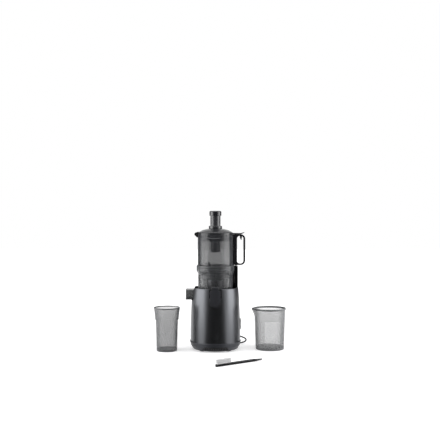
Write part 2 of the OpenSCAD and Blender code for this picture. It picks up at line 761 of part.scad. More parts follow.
module cord_tie() {
    low_r = coil_min_r - lead_d / 2 - tie_slack;
    high_r = coil_max_r + lead_d / 2 + tie_slack;
    top = coil_high + lead_d / 2 + tie_slack;
    color([0.02, 0.02, 0.02]) translate([coil_x, coil_y, 0]) rotate([0, 0, tie_angle])
        difference() {
            translate([low_r - tie_t, -tie_w / 2, 0]) cube([high_r - low_r + 2 * tie_t, tie_w, top + tie_t]);
            translate([low_r, -tie_w, tie_t - tie_slack]) cube([high_r - low_r, 2 * tie_w, top - tie_t + tie_slack]);
        }
}
tie_slack = 0.3;
tie_angle = 0;
plug_l = 34;
plug_w = 34;
plug_t = 2 * coil_high;
plug_neck_l = 20;
prong_r = 2.4;
prong_l = 19;
prong_gap = 19;
module plug() {
    color([0.04, 0.04, 0.04]) translate([plug_x, plug_y, coil_high]) {
        rotate([0, 90, 0]) cylinder(h = plug_neck_l, r1 = lead_d / 2 + over, r2 = plug_t / 3);
        intersection() {
            translate([plug_neck_l, 0, 0]) rotate([0, 90, 0]) cylinder(h = plug_l, d1 = plug_w * 0.7, d2 = plug_w);
            translate([0, -plug_w / 2, -plug_t / 2]) cube([plug_neck_l + plug_l, plug_w, plug_t]);
        }
    }
    color([0.8, 0.8, 0.82]) for (side = [-1, 1])
        translate([plug_x + plug_neck_l + plug_l - over, plug_y + side * prong_gap / 2, coil_high])
            rotate([0, 90, 0]) cylinder(h = prong_l, r = prong_r);
}

// Juicing bowl
bowl_floor_t = 3;
bowl_in_r = bowl_r - bowl_wall;
band_low_z = bowl_top - bowl_band_h;
boss_out_r = 15.5;
bush_r = 12.5;
shaft_hole_r = shaft_r + 2;
wall_ring_t = 3;
wall_ring_r = auger_flange_r + 1.6;
tunnel_top = platform_z;
spout_z = seat_z + 3;
spout_wall = 2.4;
spout_face_t = 3;
spout_lip = 12;
duct_z = seat_z + 8;
ledge_r = jug_r + 0.4;
module bowl_body() {
    rotate_extrude() polygon([
        [shaft_hole_r, seat_z], [bowl_r - over, seat_z], [bowl_r - over / 2, seat_z + over],
        [bowl_r, band_low_z - bowl_flare], [bowl_rim_r, band_low_z], [bowl_rim_r, bowl_top - over],
        [bowl_rim_r - over, bowl_top], [ledge_r, bowl_top], [ledge_r, jug_z], [bowl_in_r, jug_z],
        [bowl_in_r, seat_z + bowl_floor_t], [boss_out_r, seat_z + bowl_floor_t], [boss_out_r, platform_z],
        [bush_r, platform_z], [bush_r, platform_z - journal_h], [shaft_hole_r, platform_z - journal_h]]);
    translate([0, 0, seat_z + bowl_floor_t / 2])
        ring(wall_ring_r + wall_ring_t, wall_ring_r, platform_z - seat_z - bowl_floor_t / 2);
}
bowl_flare = 11;
module spout_2d(grow) {
    translate([0, -grow]) u_shape(spout_half + grow, spout_z, spout_z + spout_h + 2 * grow);
}
pin_out = 2.8;
pin_y = -spout_reach - pin_out;
pin_rise = 14;
pin_z = spout_z + spout_h + pin_rise;
cap_w = spout_half + over;
cap_under = 3;
cap_low_z = spout_z - spout_lip - cap_under;
cap_over = 4;
cap_high_z = spout_z + spout_h + cap_over;
barrel_r = 3.2;
cap_t = 5;
neck_half = 11;
ear_t = 3;
ear_r = 4.5;
cap_pin_r = 1.5;
module juicing_bowl() {
    color([0.72, 0.74, 0.76, 0.6]) difference() {
        union() {
            bowl_body();
            difference() {
                upright(-spout_reach, -bowl_in_r + over) spout_2d(0);
                translate([0, 0, seat_z - over]) cylinder(h = bowl_h, r = bowl_in_r + over);
            }
            upright(-spout_reach, -spout_reach + spout_face_t) u_shape(spout_half + over / 2, spout_z - spout_lip,
                spout_z + spout_h + over);
            for (side = [-1, 1]) translate([side * (neck_half + gap + ear_t / 2), 0, 0]) {
                translate([-ear_t / 2, 0, 0]) sideways(0, ear_t) {
                    translate([pin_y, pin_z]) circle(ear_r);
                    polygon([[pin_y + pin_out, pin_z - ear_r], [pin_y, pin_z + ear_r], [pin_y + ear_r, pin_z + ear_r],
                        [-spout_reach + spout_face_t, pin_z - ear_r], [-spout_reach + spout_face_t, spout_z + spout_h],
                        [-spout_reach, spout_z + spout_h]]);
                }
            }
            intersection() {
                translate([-bowl_in_r, -duct_half, seat_z + over])
                    cube([bowl_in_r - wall_ring_r, 2 * duct_half, tunnel_top - seat_z - over]);
                translate([0, 0, seat_z]) cylinder(h = bowl_h, r = bowl_in_r + over);
            }
        }
        upright(-spout_reach - over, -bowl_in_r + 2 * over) spout_2d(-spout_wall);
        translate([-bowl_in_r - 2 * over, -duct_half + spout_wall, seat_z + bowl_floor_t])
            cube([bowl_in_r - wall_ring_r + 3 * over, 2 * (duct_half - spout_wall),
                tunnel_top - seat_z - bowl_floor_t - spout_wall]);
        translate([-bowl_r - over, -duct_half + spout_wall, duct_z + spout_wall])
            cube([bowl_wall + 2 * over, 2 * (duct_half - spout_wall), tunnel_top - duct_z - 2 * spout_wall]);
        translate([0, pin_y, pin_z]) rotate([0, 90, 0])
            cylinder(h = 4 * neck_half, r = cap_pin_r + fit / 2, center = true);
    }
}
module pulp_duct() {
    color([0.3, 0.31, 0.32, 0.7]) difference() {
        sideways(-duct_reach, -bowl_r / 2) translate([-duct_half, duct_z]) round_rect(2 * duct_half, duct_h, 5);
        sideways(-duct_reach - over, -bowl_r / 2 + over) translate([-duct_half + spout_wall, duct_z + spout_wall])
            round_rect(2 * (duct_half - spout_wall), duct_h - 2 * spout_wall, 3);
        translate([0, 0, seat_z]) cylinder(h = bowl_h, r = bowl_r - gap);
    }
}
packing_t = 2.6;
module pulp_packing() {
    color([0.03, 0.03, 0.03]) difference() {
        translate([-duct_reach - 0.8, -duct_half + 6, duct_z - packing_t])
            cube([duct_reach - bowl_r + 12, 2 * duct_half - 12, packing_t]);
        translate([0, 0, seat_z]) cylinder(h = bowl_h, r = bowl_r + fit);
    }
}
module bowl_seal() {
    color([0.5, 0.1, 0.1]) translate([0, 0, platform_z - journal_h])
        ring(bush_r - fit / 2, coupling_r + run, journal_h);
}
coupling_r = 9;
coupling_hex = 15;
coupling_h = 16.3;
module cap_pin() {
    color([0.8, 0.8, 0.82]) translate([0, pin_y, pin_z]) rotate([0, 90, 0])
        cylinder(h = 2 * (neck_half + gap + ear_t), r = cap_pin_r, center = true);
}
module juice_cap() {
    y1 = -spout_reach - gap;
    color([0.06, 0.06, 0.07]) difference() {
        union() {
            upright(y1 - cap_t, y1) u_shape(cap_w, cap_low_z, cap_high_z);
            upright(y1 - cap_t, y1) translate([-neck_half, cap_high_z - over]) square([2 * neck_half, pin_z - cap_high_z + over]);
            translate([0, pin_y, pin_z]) rotate([0, 90, 0]) cylinder(h = 2 * neck_half, r = barrel_r, center = true);
        }
        translate([0, pin_y, pin_z]) rotate([0, 90, 0])
            cylinder(h = 4 * neck_half, r = cap_pin_r + run, center = true);
    }
}
module cap_seal() {
    color([0.2, 0.2, 0.21]) upright(-spout_reach - gap, -spout_reach + 2.4) translate([0, 0.4])
        u_shape(spout_half - spout_wall - 0.8, spout_z + spout_wall + 0.8, spout_z + spout_h - spout_wall - 1.2);
}
module drive_coupling() {
    color([0.78, 0.78, 0.8]) difference() {
        union() {
            translate([0, 0, platform_z - journal_h]) cylinder(h = journal_h + gap, r = coupling_r);
            translate([0, 0, platform_z]) linear_extrude(coupling_h) hexagon(coupling_hex);
        }
        translate([0, 0, platform_z - journal_h - over])
            linear_extrude(journal_h + tip_over + over + gap) hexagon(hex_af + 2 * gap);
    }
}

// Auger
auger_z = platform_z + gap;
shelf_share = 0.3761;
shelf_h = auger_h * shelf_share;
core_r_out = 12;
core_len = 19;
horn_back_h = 74;
screw_turn = 300;
root_share = 0.9;
flight_share = 0.5;
module screw_2d() {
    circle(auger_r * root_share);
    for (a = [0, 180]) rotate(a) translate([auger_r * (1 - flight_share), 0]) circle(auger_r * flight_share);
}
module horn_2d() {
    // Outline seen from the front, in shares of the radius and of the height of the auger
    polygon([for (p = horn_shares) [p[0] * auger_r, auger_z + p[1] * auger_h]]);
}
horn_shares = [
    [-0.98, 0.36], [-0.74, 0.376], [-0.56, 0.40], [-0.47, 0.44], [-0.43, 0.5], [-0.44, 0.58], [-0.42, 0.645],
    [-0.52, 0.72], [-0.68, 0.79], [-0.8, 0.85], [-0.87, 0.9], [-0.9, 0.95], [-0.86, 0.985], [-0.8, 1],
    [-0.74, 0.985], [-0.66, 0.94], [-0.54, 0.88], [-0.36, 0.82], [-0.12, 0.765], [0.2, 0.715], [0.55, 0.675],
    [0.8, 0.645], [0.9, 0.61], [0.93, 0.57], [0.93, 0.36]
];
side_shares = [
    [-0.75, 0.36], [-0.75, 0.5], [-0.72, 0.62], [-0.55, 0.74], [-0.32, 0.87], [-0.16, 0.96], [0, 1],
    [0.16, 0.96], [0.32, 0.87], [0.55, 0.74], [0.72, 0.62], [0.75, 0.5], [0.75, 0.36]
];
module auger() {
    color([0.2, 0.2, 0.21]) difference() {
        union() {
            translate([0, 0, auger_z]) rotate_extrude() polygon([
                [core_r_out, 0], [auger_flange_r - 6, 0], [auger_flange_r, 3], [auger_flange_r, 4.6],
                [auger_flange_r - 5, 9], [auger_r * root_share - over, 12], [auger_r * root_share - over, shelf_h], [0, shelf_h], [0, core_len],
                [core_r_out, core_len]]);
            translate([0, 0, auger_z + 5]) linear_extrude(shelf_h - 5, twist = -screw_turn, slices = 26, $fn = 40)
                screw_2d();
            intersection() {
                upright(-auger_r, auger_r) horn_2d();
                sideways(-auger_r, auger_r)
                    polygon([for (p = side_shares) [p[0] * auger_r, auger_z + p[1] * auger_h]]);
                translate([0, 0, auger_z + shelf_h - over]) cylinder(h = auger_h, r = auger_r);
            }
        }
        translate([0, 0, auger_z - over]) cylinder(h = core_len + over, r = core_r_out);
    }
}
module auger_core() {
    color([0.75, 0.75, 0.77]) difference() {
        translate([0, 0, auger_z]) cylinder(h = core_len - fit, r = core_r_out - fit / 2);
        translate([0, 0, auger_z - over]) linear_extrude(coupling_h + over + gap) hexagon(coupling_hex + 2 * gap);
    }
}

// Hopper jug: everything is measured from its shoulder
frame_wall = 2.4;
foot_ring_over = 3.8;
foot_ring_r = auger_flange_r + foot_ring_over;
collar_gap = 1;
collar_out_r = bowl_in_r - collar_gap;
function strain_z(share) = jug_z - share * strainer_drop;
function strain_r(share) = foot_ring_r + share * (collar_out_r - foot_ring_r);
collar_share = 0.1532;
rim_z = jug_z + jug_h;
neck_gap = 1.2;
neck_r = collar_out_r - frame_wall - neck_gap;
neck_share = 0.2388;
neck_h = strainer_drop * neck_share;
neck_draw = 4;
neck_low_r = neck_r - neck_draw;
module hopper_jug() {
    color([0.35, 0.36, 0.38, 0.6]) difference() {
        rotate_extrude() polygon([
            [jug_r - fit, jug_z], [jug_r, jug_z + 3], [jug_r, rim_z], [jug_r - jug_wall, rim_z],
            [jug_r - jug_wall, jug_z + 9], [neck_r - jug_wall, jug_z], [neck_low_r - jug_wall, jug_z - neck_h],
            [neck_low_r, jug_z - neck_h], [neck_r, jug_z - 2], [neck_r, jug_z]]);
        hinge_clear();
    }
    color([0.35, 0.36, 0.38, 0.6]) for (a = lug_angles) rotate([0, 0, a])
        difference() {
            translate([neck_low_r - over, -lug_w / 2 + fit, jug_z - lug_drop - lug_h + gap])
                cube([lug_reach - neck_low_r + over, lug_w - 2 * fit, lug_h - gap]);
            rotate_extrude() polygon([[0, jug_z - neck_h], [neck_low_r - 0.2, jug_z - neck_h], [neck_r - 0.2, jug_z - 2], [0, jug_z]]);
        }
}
lug_angles = [-60, 60, 180];
lug_out = 1.4;
lug_reach = neck_r + lug_out;
lug_w = 10;
lug_h = 5;
lug_share = 0.0896;
lug_drop = strainer_drop * lug_share;
foot_rise = 4.6;
foot_z = jug_z + foot_rise;
foot_t = 5;
handle_over = 3.5;
handle_top = rim_z + handle_over;
loop_w = 22;
loop_low = foot_z + foot_t;
loop_top_t = 6;
loop_h = handle_top - loop_top_t - loop_low;
loop_x = handle_reach - handle_bar - loop_w;
grip_round = 16;
trigger_x = handle_reach - 15;
trigger_z = handle_top - 3;
slot_half = 4.5;
slot_back = 4.5;
slot_front = 7.5;
slot_drop = 12;
module jug_handle() {
    color([0.1, 0.1, 0.11]) difference() {
        union() {
            upright(-handle_half, handle_half) difference() {
                translate([0, foot_z]) round_rect(handle_reach, handle_top - foot_z, grip_round);
                translate([loop_x, loop_low]) round_rect(loop_w, loop_h, grip_round - handle_bar);
            }
            translate([0, 0, foot_z]) sector(jug_r - over, tower_r + over, foot_t, foot_a0, foot_a1);
        }
        translate([0, 0, jug_z]) cylinder(h = handle_top, r = jug_r + fit / 2);
        translate([0, 0, rim_z]) cylinder(h = lid_h, r = jug_r + 2 * gap);
        translate([trigger_x - slot_back, -slot_half, loop_low + loop_h - slot_drop])
            cube([slot_back + slot_front, 2 * slot_half, lid_h + slot_drop]);
        translate([trigger_x, 0, trigger_z]) rotate([90, 0, 0])
            cylinder(h = 2 * trigger_pin_half, r = trigger_pin_r + run, center = true);
        translate([0, 0, foot_z - over]) at_pins() cylinder(h = foot_t - over / 2, r = pin_r + fit / 2);
    }
}
foot_a0 = -8;
foot_a1 = 24;
module interlock_pins() {
    color([0.45, 0.46, 0.48]) translate([0, 0, foot_z - pin_len]) at_pins()
        cylinder(h = pin_len + foot_t - 2 * over, r = pin_r);
}
trigger_pin_r = 1.2;
trigger_pin_half = 8;
trigger_boss_r = 2.5;
trigger_len = 18;
trigger_wide = 4;
module release_trigger() {
    color([0.65, 0.66, 0.66]) {
        translate([trigger_x, 0, trigger_z]) rotate([90, 0, 0])
            cylinder(h = 2 * trigger_pin_half - fit, r = trigger_pin_r, center = true);
        upright(-slot_half + gap, slot_half - gap) translate([trigger_x, trigger_z]) {
            circle(trigger_boss_r);
            polygon([[-trigger_boss_r, 0], [-trigger_wide, -trigger_len * 0.4], [0.5, -trigger_len], [1.5, -trigger_len],
                [trigger_wide, -trigger_len * 0.4], [trigger_boss_r, 0]]);
        }
    }
}

// Lid hinge at the left of the jug rim
hinge_x = -jug_r - 4.5;
hinge_z = rim_z + 3.5;
hinge_r = 6.5;
hinge_pin_r = 2;
hinge_mid = 9;
hinge_half = 16;
module hinge_clear() {
    translate([hinge_x, 0, hinge_z]) rotate([90, 0, 0])
        cylinder(h = 2 * hinge_half + 2 * over, r = hinge_r + 2 * gap, center = true);
}
module jug_hinge() {
    color([0.05, 0.05, 0.06]) difference() {
        for (side = [-1, 1]) upright(side > 0 ? hinge_mid + gap : -hinge_half, side > 0 ? hinge_half : -hinge_mid - gap) {
            translate([hinge_x, hinge_z]) circle(hinge_r);
            polygon([[hinge_x - hinge_r * 0.94, hinge_z - hinge_r * 0.34], [hinge_x, hinge_z], [hinge_x + hinge_r, hinge_z - 4.2],
                [hinge_x + hinge_r, hinge_z - 11], [hinge_x + 2, hinge_z - 11]]);
        }
        translate([0, 0, jug_z]) cylinder(h = rim_z - jug_z, r = jug_r + fit / 2);
        translate([0, 0, rim_z - over]) cylinder(h = lid_h, r = jug_r - over);
        hinge_bore(hinge_pin_r + fit / 4);
    }
}
module hinge_bore(r) {
    translate([hinge_x, 0, hinge_z]) rotate([90, 0, 0]) cylinder(h = 2 * hinge_half + 2 * over, r = r, center = true);
}
module hinge_pin() {
    color([0.8, 0.8, 0.82]) translate([hinge_x, 0, hinge_z]) rotate([90, 0, 0])
        cylinder(h = 2 * hinge_half, r = hinge_pin_r, center = true);
}
lid_z = rim_z + gap;
lid_top = jug_z + jug_h + lid_h;
lid_edge_h = 10;
mouth_r = plunger_r + 0.6;
skirt_in_h = 21;
dome_r = 33;
module arm_2d(grow) {
    polygon([[hinge_x, hinge_z - grow], [hinge_x + hinge_r, hinge_z - grow + 1.5], [hinge_x + 13, hinge_z + 1.5 - grow],
        [hinge_x + 13, hinge_z + 8.5], [hinge_x + 4, hinge_z + hinge_r + 1.5], [hinge_x, hinge_z + hinge_r]]);
}
module hopper_lid() {
    skin = lid_wall;
    color([0.3, 0.31, 0.33, 0.7]) difference() {
        rotate_extrude() polygon([
            [jug_r, lid_z], [jug_r, lid_z + lid_edge_h - 2], [jug_r - 2, lid_z + lid_edge_h],
            [dome_r + 14, lid_top - 5], [dome_r, lid_top - 1], [dome_r - 5, lid_top], [mouth_r, lid_top],
            [mouth_r, lid_top - chute_h], [mouth_r + skin, lid_top - chute_h], [mouth_r + skin, lid_top - skin],
            [dome_r - 5, lid_top - skin], [dome_r + 13, lid_top - 5 - skin],
            [jug_r - jug_wall - 0.8 - skin, lid_z + lid_edge_h - 4],
            [jug_r - jug_wall - 0.8 - skin, lid_z], [jug_r - jug_wall - 3 - skin, lid_z - skirt_in_h],
            [jug_r - jug_wall - 3, lid_z - skirt_in_h], [jug_r - jug_wall - 0.8, lid_z]]);
        hinge_clear();
        upright(-hinge_mid, hinge_mid) arm_2d(fit / 2);
        upright(-tongue_half, tongue_half) tongue_2d(0);
    }
}
chute_h = 24;
module lid_hinge() {
    color([0.05, 0.05, 0.06]) difference() {
        union() {
            translate([hinge_x, 0, hinge_z]) rotate([90, 0, 0]) cylinder(h = 2 * hinge_mid, r = hinge_r, center = true);
            upright(-hinge_mid, hinge_mid) arm_2d(0);
        }
        hinge_bore(hinge_pin_r + run);
    }
}
tongue_half = 8;
tongue_z = handle_top + gap;
module tongue_2d(grow) {
    polygon([[jug_r - 6, tongue_z], [handle_reach - 14, tongue_z], [handle_reach - 3, tongue_z + 4.5],
        [handle_reach - 3, tongue_z + 7], [handle_reach - 16, tongue_z + 3.6], [jug_r + 2, tongue_z + 4.2],
        [jug_r - 6, tongue_z + 4.2]]);
}
module lid_tongue() {
    color([0.08, 0.08, 0.09]) upright(-tongue_half, tongue_half) tongue_2d(0);
}

// Strainer, measured down from the shoulder of the jug
ring_h = 2;
frame_low_z = jug_z - strainer_drop + ring_h;
win_shares = [0.801, 0.4627];
win_low = strain_z(win_shares[0]);
win_high = strain_z(win_shares[1]);
low_win_shares = [0.9403, 0.8557];
low_win_low = strain_z(low_win_shares[0]);
low_win_high = strain_z(low_win_shares[1]);
rib_w = 7;
// Outline of the strainer in shares of its radial growth and of its depth
frame_shares = [[0.8667, 0.1741], [0.5556, 0.3483], [0.4444, 0.408], [0.2833, 0.5224], [0.1444, 0.7463], [0.0444, 0.9154]];
module strainer_frame() {
    outer = concat([[collar_out_r, jug_z - over], [collar_out_r - over, strain_z(collar_share)]],
        [for (p = frame_shares) [strain_r(p[0]), strain_z(p[1])]], [[foot_ring_r, frame_low_z]]);
    last = len(outer) - 1;
    color([0.22, 0.23, 0.24]) difference() {
        union() {
            rotate_extrude() polygon(concat(outer, [for (i = [0:last]) outer[last - i] - [frame_wall, 0]]));
            for (side = [0, 180]) rotate([0, 0, side]) translate([0, 0, peg_z]) rotate([0, 90, 0]) {
                translate([0, 0, foot_ring_r - over / 2]) cylinder(h = peg_reach - foot_ring_r, r = peg_r * 0.6);
                translate([0, 0, peg_reach - peg_knob]) cylinder(h = peg_knob, r = peg_r);
            }
        }
        for (i = [0:window_count - 1]) rotate([0, 0, -87 + (i + 0.5) * 360 / window_count]) {
            w = 2 * strain_r(window_share) * sin(180 / window_count) - rib_w;
            translate([auger_r, -w / 2, win_low]) cube([collar_out_r - auger_r, w, win_high - win_low]);
            translate([auger_r, -w / 2, low_win_low]) cube([collar_out_r - auger_r, w, low_win_high - low_win_low]);
        }
        for (a = lug_angles) rotate([0, 0, a])
            translate([neck_low_r - 2 * over, -lug_w / 2, jug_z - lug_drop - lug_h])
                cube([collar_out_r - neck_low_r + 4 * over, lug_w, lug_h]);
    }
}
window_share = 0.0778;
peg_drop_share = 0.8358;
peg_z = strain_z(peg_drop_share);
peg_r = 3;
peg_knob = 2.6;
peg_share = 0.5158;
peg_reach = foot_ring_r + peg_share * (bowl_in_r - foot_ring_r);
screen_share = 0.1333;
screen_high_r = strain_r(screen_share);
screen_over = 2;
module strainer_screen() {
    low_r = foot_ring_r - frame_wall - fit;
    color([0.8, 0.8, 0.82]) rotate_extrude() polygon([
        [screen_high_r, win_high + screen_over], [low_r, frame_low_z], [low_r - screen_t, frame_low_z],
        [screen_high_r - screen_t, win_high + screen_over]]);
}
module strainer_ring() {
    color([0.8, 0.8, 0.82]) translate([0, 0, jug_z - strainer_drop]) rotate_extrude() polygon([
        [ring_in_r, 0], [foot_ring_r - ring_round, 0], [foot_ring_r, ring_round], [foot_ring_r, ring_h],
        [ring_in_r, ring_h]]);
}
ring_in_r = auger_flange_r + 0.6;
ring_round = 0.8;
gasket_drop = 6;
gasket_h = 3;
module jug_gasket() {
    color([0.05, 0.05, 0.05]) translate([0, 0, jug_z - gasket_drop])
        ring(bowl_in_r - gap, collar_out_r - fit, gasket_h);
}

// Plunger
plunger_top = lid_top + collar_drop;
plunger_cap_h = 18;
plunger_cap_r = 21;
module plunger() {
    low = plunger_top - plunger_len;
    body_top = plunger_top - plunger_cap_h;
    collar_z = plunger_top - collar_drop;
    color([0.15, 0.15, 0.16]) rotate_extrude() polygon([
        [0, low], [plunger_r - 4, low], [plunger_r - 1.2, low + 3], [plunger_r - 0.3, collar_z],
        [collar_r - over, collar_z], [collar_r, collar_z + over], [collar_r, collar_z + 9],
        [collar_r - over, collar_z + 10], [plunger_r, collar_z + 10], [plunger_r, body_top],
        [plunger_r - 3, body_top], [plunger_r - 3, low + 4], [0, low + 4]]);
}
module plunger_cap() {
    color([0.12, 0.12, 0.13]) rotate_extrude() polygon([
        [0, plunger_top - plunger_cap_h + 0.05], [plunger_cap_r - 1, plunger_top - plunger_cap_h + 0.05],
        [plunger_cap_r, plunger_top - plunger_cap_h + 1], [plunger_cap_r, plunger_top - 3],
        [plunger_cap_r - 2, plunger_top - 0.6], [plunger_cap_r - 6, plunger_top], [0, plunger_top]]);
}

// Cups
cup_x = -167;
cup_y = -33;
cup_step_z = 106;
module juice_cup() {
    color([0.3, 0.32, 0.34, 0.5]) translate([cup_x, cup_y, 0]) rotate_extrude() polygon([
        [0, 1.2], [cup_foot_r - 5, 1.2], [cup_foot_r - 4, 0], [cup_foot_r - 0.6, 0], [cup_foot_r, 1],
        [cup_foot_r + 3.2, cup_step_z - 1], [cup_foot_r + 5.4, cup_step_z + 1.5], [cup_rim_r - 2, cup_h - 14],
        [cup_rim_r - 0.6, cup_h - 7], [cup_rim_r, cup_h - 1], [cup_rim_r - 0.8, cup_h], [cup_rim_r - cup_wall, cup_h],
        [cup_rim_r - 2 - cup_wall, cup_h - 14], [cup_foot_r + 5.4 - cup_wall, cup_step_z + 2],
        [cup_foot_r + 3.2 - cup_wall, cup_step_z - 0.5], [cup_foot_r - cup_wall, 8], [cup_foot_r - cup_wall - 3, 6],
        [0, 6]]);
}
pulp_x = 190;
pulp_y = 0;
pulp_lip = 63.5;
pulp_floor = 9;
pulp_band = 6;
panel_x = -21;
panel_w = 53;
panel_z = 9;
panel_h = 91;
module pulp_jug() {
    top_r = pulp_rim_r - 2.2;
    color([0.72, 0.74, 0.76, 0.5]) translate([pulp_x, pulp_y, 0]) difference() {
        union() {
            cylinder(h = pulp_h - pulp_band + 1, r1 = pulp_foot_r, r2 = top_r);
            translate([0, 0, pulp_h - pulp_band]) cylinder(h = pulp_band, r = pulp_rim_r);
            hull() {
                translate([-pulp_lip + 5, 0, pulp_h - 5]) cylinder(h = 5, r = 5, $fn = 32);
                translate([-pulp_rim_r + 12, 0, pulp_h - 5]) cylinder(h = 5, r = 18, $fn = 32);
                translate([-pulp_foot_r + 2, 0, pulp_h * 0.76]) sphere(3, $fn = 24);
            }
            intersection() {
                translate([0, 0, panel_z]) cylinder(h = panel_h, r1 = pulp_foot_r + 0.9, r2 = pulp_foot_r + 4.3);
                translate([panel_x, -pulp_rim_r, panel_z]) cube([panel_w, pulp_rim_r, panel_h]);
            }
        }
        translate([0, 0, pulp_floor])
            cylinder(h = pulp_h - pulp_floor + 1, r1 = pulp_foot_r - pulp_wall, r2 = top_r - pulp_wall + 0.2);
        translate([0, 0, pulp_h - pulp_band + 2]) cylinder(h = pulp_band, r = pulp_rim_r - pulp_wall);
        hull() {
            translate([-pulp_lip + 5, 0, pulp_h - 4]) cylinder(h = 6, r = 3, $fn = 32);
            translate([-pulp_rim_r + 14, 0, pulp_h - 4]) cylinder(h = 6, r = 15.5, $fn = 32);
            translate([-pulp_foot_r + 5, 0, pulp_h * 0.79]) sphere(3, $fn = 24);
        }
        translate([0, 0, -0.01]) cylinder(h = 2, r = pulp_foot_r - 5);
    }
}

// Cleaning brush, drawn along X and then laid on the floor
brush_spot = [4, -290, 0];
brush_turn = 33.6;
brush_t = 8;
head_len = 54;
scraper_len = 32;
bristle_h = 15;
bristle_r = 0.26;
bristle_tip = 0.6;
bristle_foot = 0.15;
tuft_spread = 1.12;
backing_t = 1;
backing_w = brush_w - 1;
module at_brush() { translate(brush_spot) rotate([0, 0, brush_turn]) children(); }
module brush_handle() {
    body_len = brush_len - scraper_len;
    color([0.06, 0.06, 0.07]) at_brush() {
        difference() {
            sideways(0, body_len + 4) translate([-brush_w / 2, 0]) round_rect(brush_w, brush_t, brush_round);
            translate([head_len + 8, -brush_w / 5, brush_t - 1.4])
                cube([body_len - head_len - 16, brush_w * 0.4, brush_t]);
            translate([backing_edge - fit, -backing_w / 2 - fit, brush_t - backing_t])
                cube([head_len - 2 * backing_edge + 2 * fit, backing_w + 2 * fit, brush_t]);
        }
        translate([body_len, 0, brush_t / 2 - scraper_t / 2]) linear_extrude(scraper_t) polygon([
            [0, -brush_w * 0.45], [6, -brush_w * 0.8], [scraper_len, -1], [scraper_len, 1], [6, brush_w * 0.8],
            [0, brush_w * 0.45]]);
    }
}
brush_round = 2.4;
backing_edge = 1;
scraper_t = 4;
// The tuft is one closed shape: a backing with a square cell for every bristle, each a three-sided taper
module brush_bristles() {
    nx = bristle_rows;
    ny = bristle_files;
    long = head_len - 2 * backing_edge;
    dx = long / nx;
    dy = backing_w / ny;
    z0 = brush_t - backing_t;
    grid = [for (i = [0:nx]) for (j = [0:ny]) [backing_edge + i * dx, -backing_w / 2 + j * dy, brush_t]];
    base = [for (i = [0:nx - 1]) for (j = [0:ny - 1]) for (k = [0:2])
        let (a = 90 + 120 * k) [backing_edge + (i + 0.5) * dx, -backing_w / 2 + (j + 0.5) * dy, brush_t + bristle_foot]
            + bristle_r * [cos(a), sin(a), 0]];
    tips = [for (i = [0:nx - 1]) for (j = [0:ny - 1]) for (k = [0:2])
        let (a = 90 + 120 * k, u = (i + 0.5) * dx - long / 2, v = (j + 0.5) * dy - backing_w / 2)
            [backing_edge + long / 2 + u * (1 + (tuft_spread - 1) / 4), v * tuft_spread,
                brush_t + bristle_h - 0.7 * pow(abs(2 * u / long), 4)]
            + bristle_r * bristle_tip * [cos(a), sin(a), 0]];
    floor_pts = [[backing_edge, -backing_w / 2, z0], [backing_edge, backing_w / 2, z0],
        [backing_edge + long, backing_w / 2, z0], [backing_edge + long, -backing_w / 2, z0]];
    g = function (i, j) i * (ny + 1) + j;
    b0 = len(grid);
    t0 = b0 + len(base);
    f0 = t0 + len(tips);
    cells = [for (i = [0:nx - 1]) for (j = [0:ny - 1])
        let (
            c = [g(i, j), g(i + 1, j), g(i + 1, j + 1), g(i, j + 1)],
            n = 3 * (i * ny + j),
            b = [b0 + n, b0 + n + 1, b0 + n + 2],
            t = [t0 + n, t0 + n + 1, t0 + n + 2]
        )
        each [
            [c[0], c[1], b[1]], [c[1], b[2], b[1]], [c[1], c[2], b[2]], [c[2], b[0], b[2]], [c[2], c[3], b[0]],
            [c[3], b[1], b[0]], [c[3], c[0], b[1]],
            [b[0], b[1], t[1]], [b[0], t[1], t[0]], [b[1], b[2], t[2]], [b[1], t[2], t[1]],
            [b[2], b[0], t[0]], [b[2], t[0], t[2]], [t[0], t[1], t[2]]
        ]];
    sides = [
        concat([f0], [for (i = [0:nx]) g(i, 0)], [f0 + 3]),
        concat([f0 + 2], [for (i = [nx:-1:0]) g(i, ny)], [f0 + 1]),
        concat([f0 + 1], [for (j = [ny:-1:0]) g(0, j)], [f0]),
        concat([f0 + 3], [for (j = [0:ny]) g(nx, j)], [f0 + 2]),
        [f0 + 3, f0 + 2, f0 + 1, f0]
    ];
    color([0.1, 0.1, 0.11]) at_brush()
        polyhedron(concat(grid, base, tips, floor_pts),
            concat([for (face = cells) [face[2], face[1], face[0]]], sides), convexity = 10);
}

base_sleeve();
base_skirt();
bottom_cover();
rubber_feet();
bottom_screws();
bowl_seat();
interlock_tower();
tower_guide();
interlock_sensor();
switch_bezel();
gear_case();
gear_case_cover();
case_screws();
output_bearing();
shaft_seal();
motor_can();
motor_end_cap();
motor_dampers();
control_board();
strain_relief();
cord();
cord_coil();
plug();
cord_tie();
rocker_switch();
output_gear();
drive_shaft();
idler_gear();
idler_axle();
motor_rotor();
cooling_fan();
juicing_bowl();
pulp_duct();
pulp_packing();
bowl_seal();
cap_pin();
juice_cap();
cap_seal();
drive_coupling();
auger();
auger_core();
hopper_jug();
jug_handle();
interlock_pins();
jug_hinge();
hinge_pin();
strainer_frame();
strainer_screen();
strainer_ring();
jug_gasket();
hopper_lid();
lid_hinge();
lid_tongue();
release_trigger();
plunger();
plunger_cap();
juice_cup();
pulp_jug();
brush_handle();
brush_bristles();
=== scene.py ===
"""Looks of a cold press juicer with its cups and cleaning brush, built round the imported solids."""

from __future__ import annotations

import json
import logging
import math
from dataclasses import dataclass
from enum import Enum
from typing import Any, ClassVar, Sequence

import bmesh
import bpy
from mathutils import Matrix, Vector

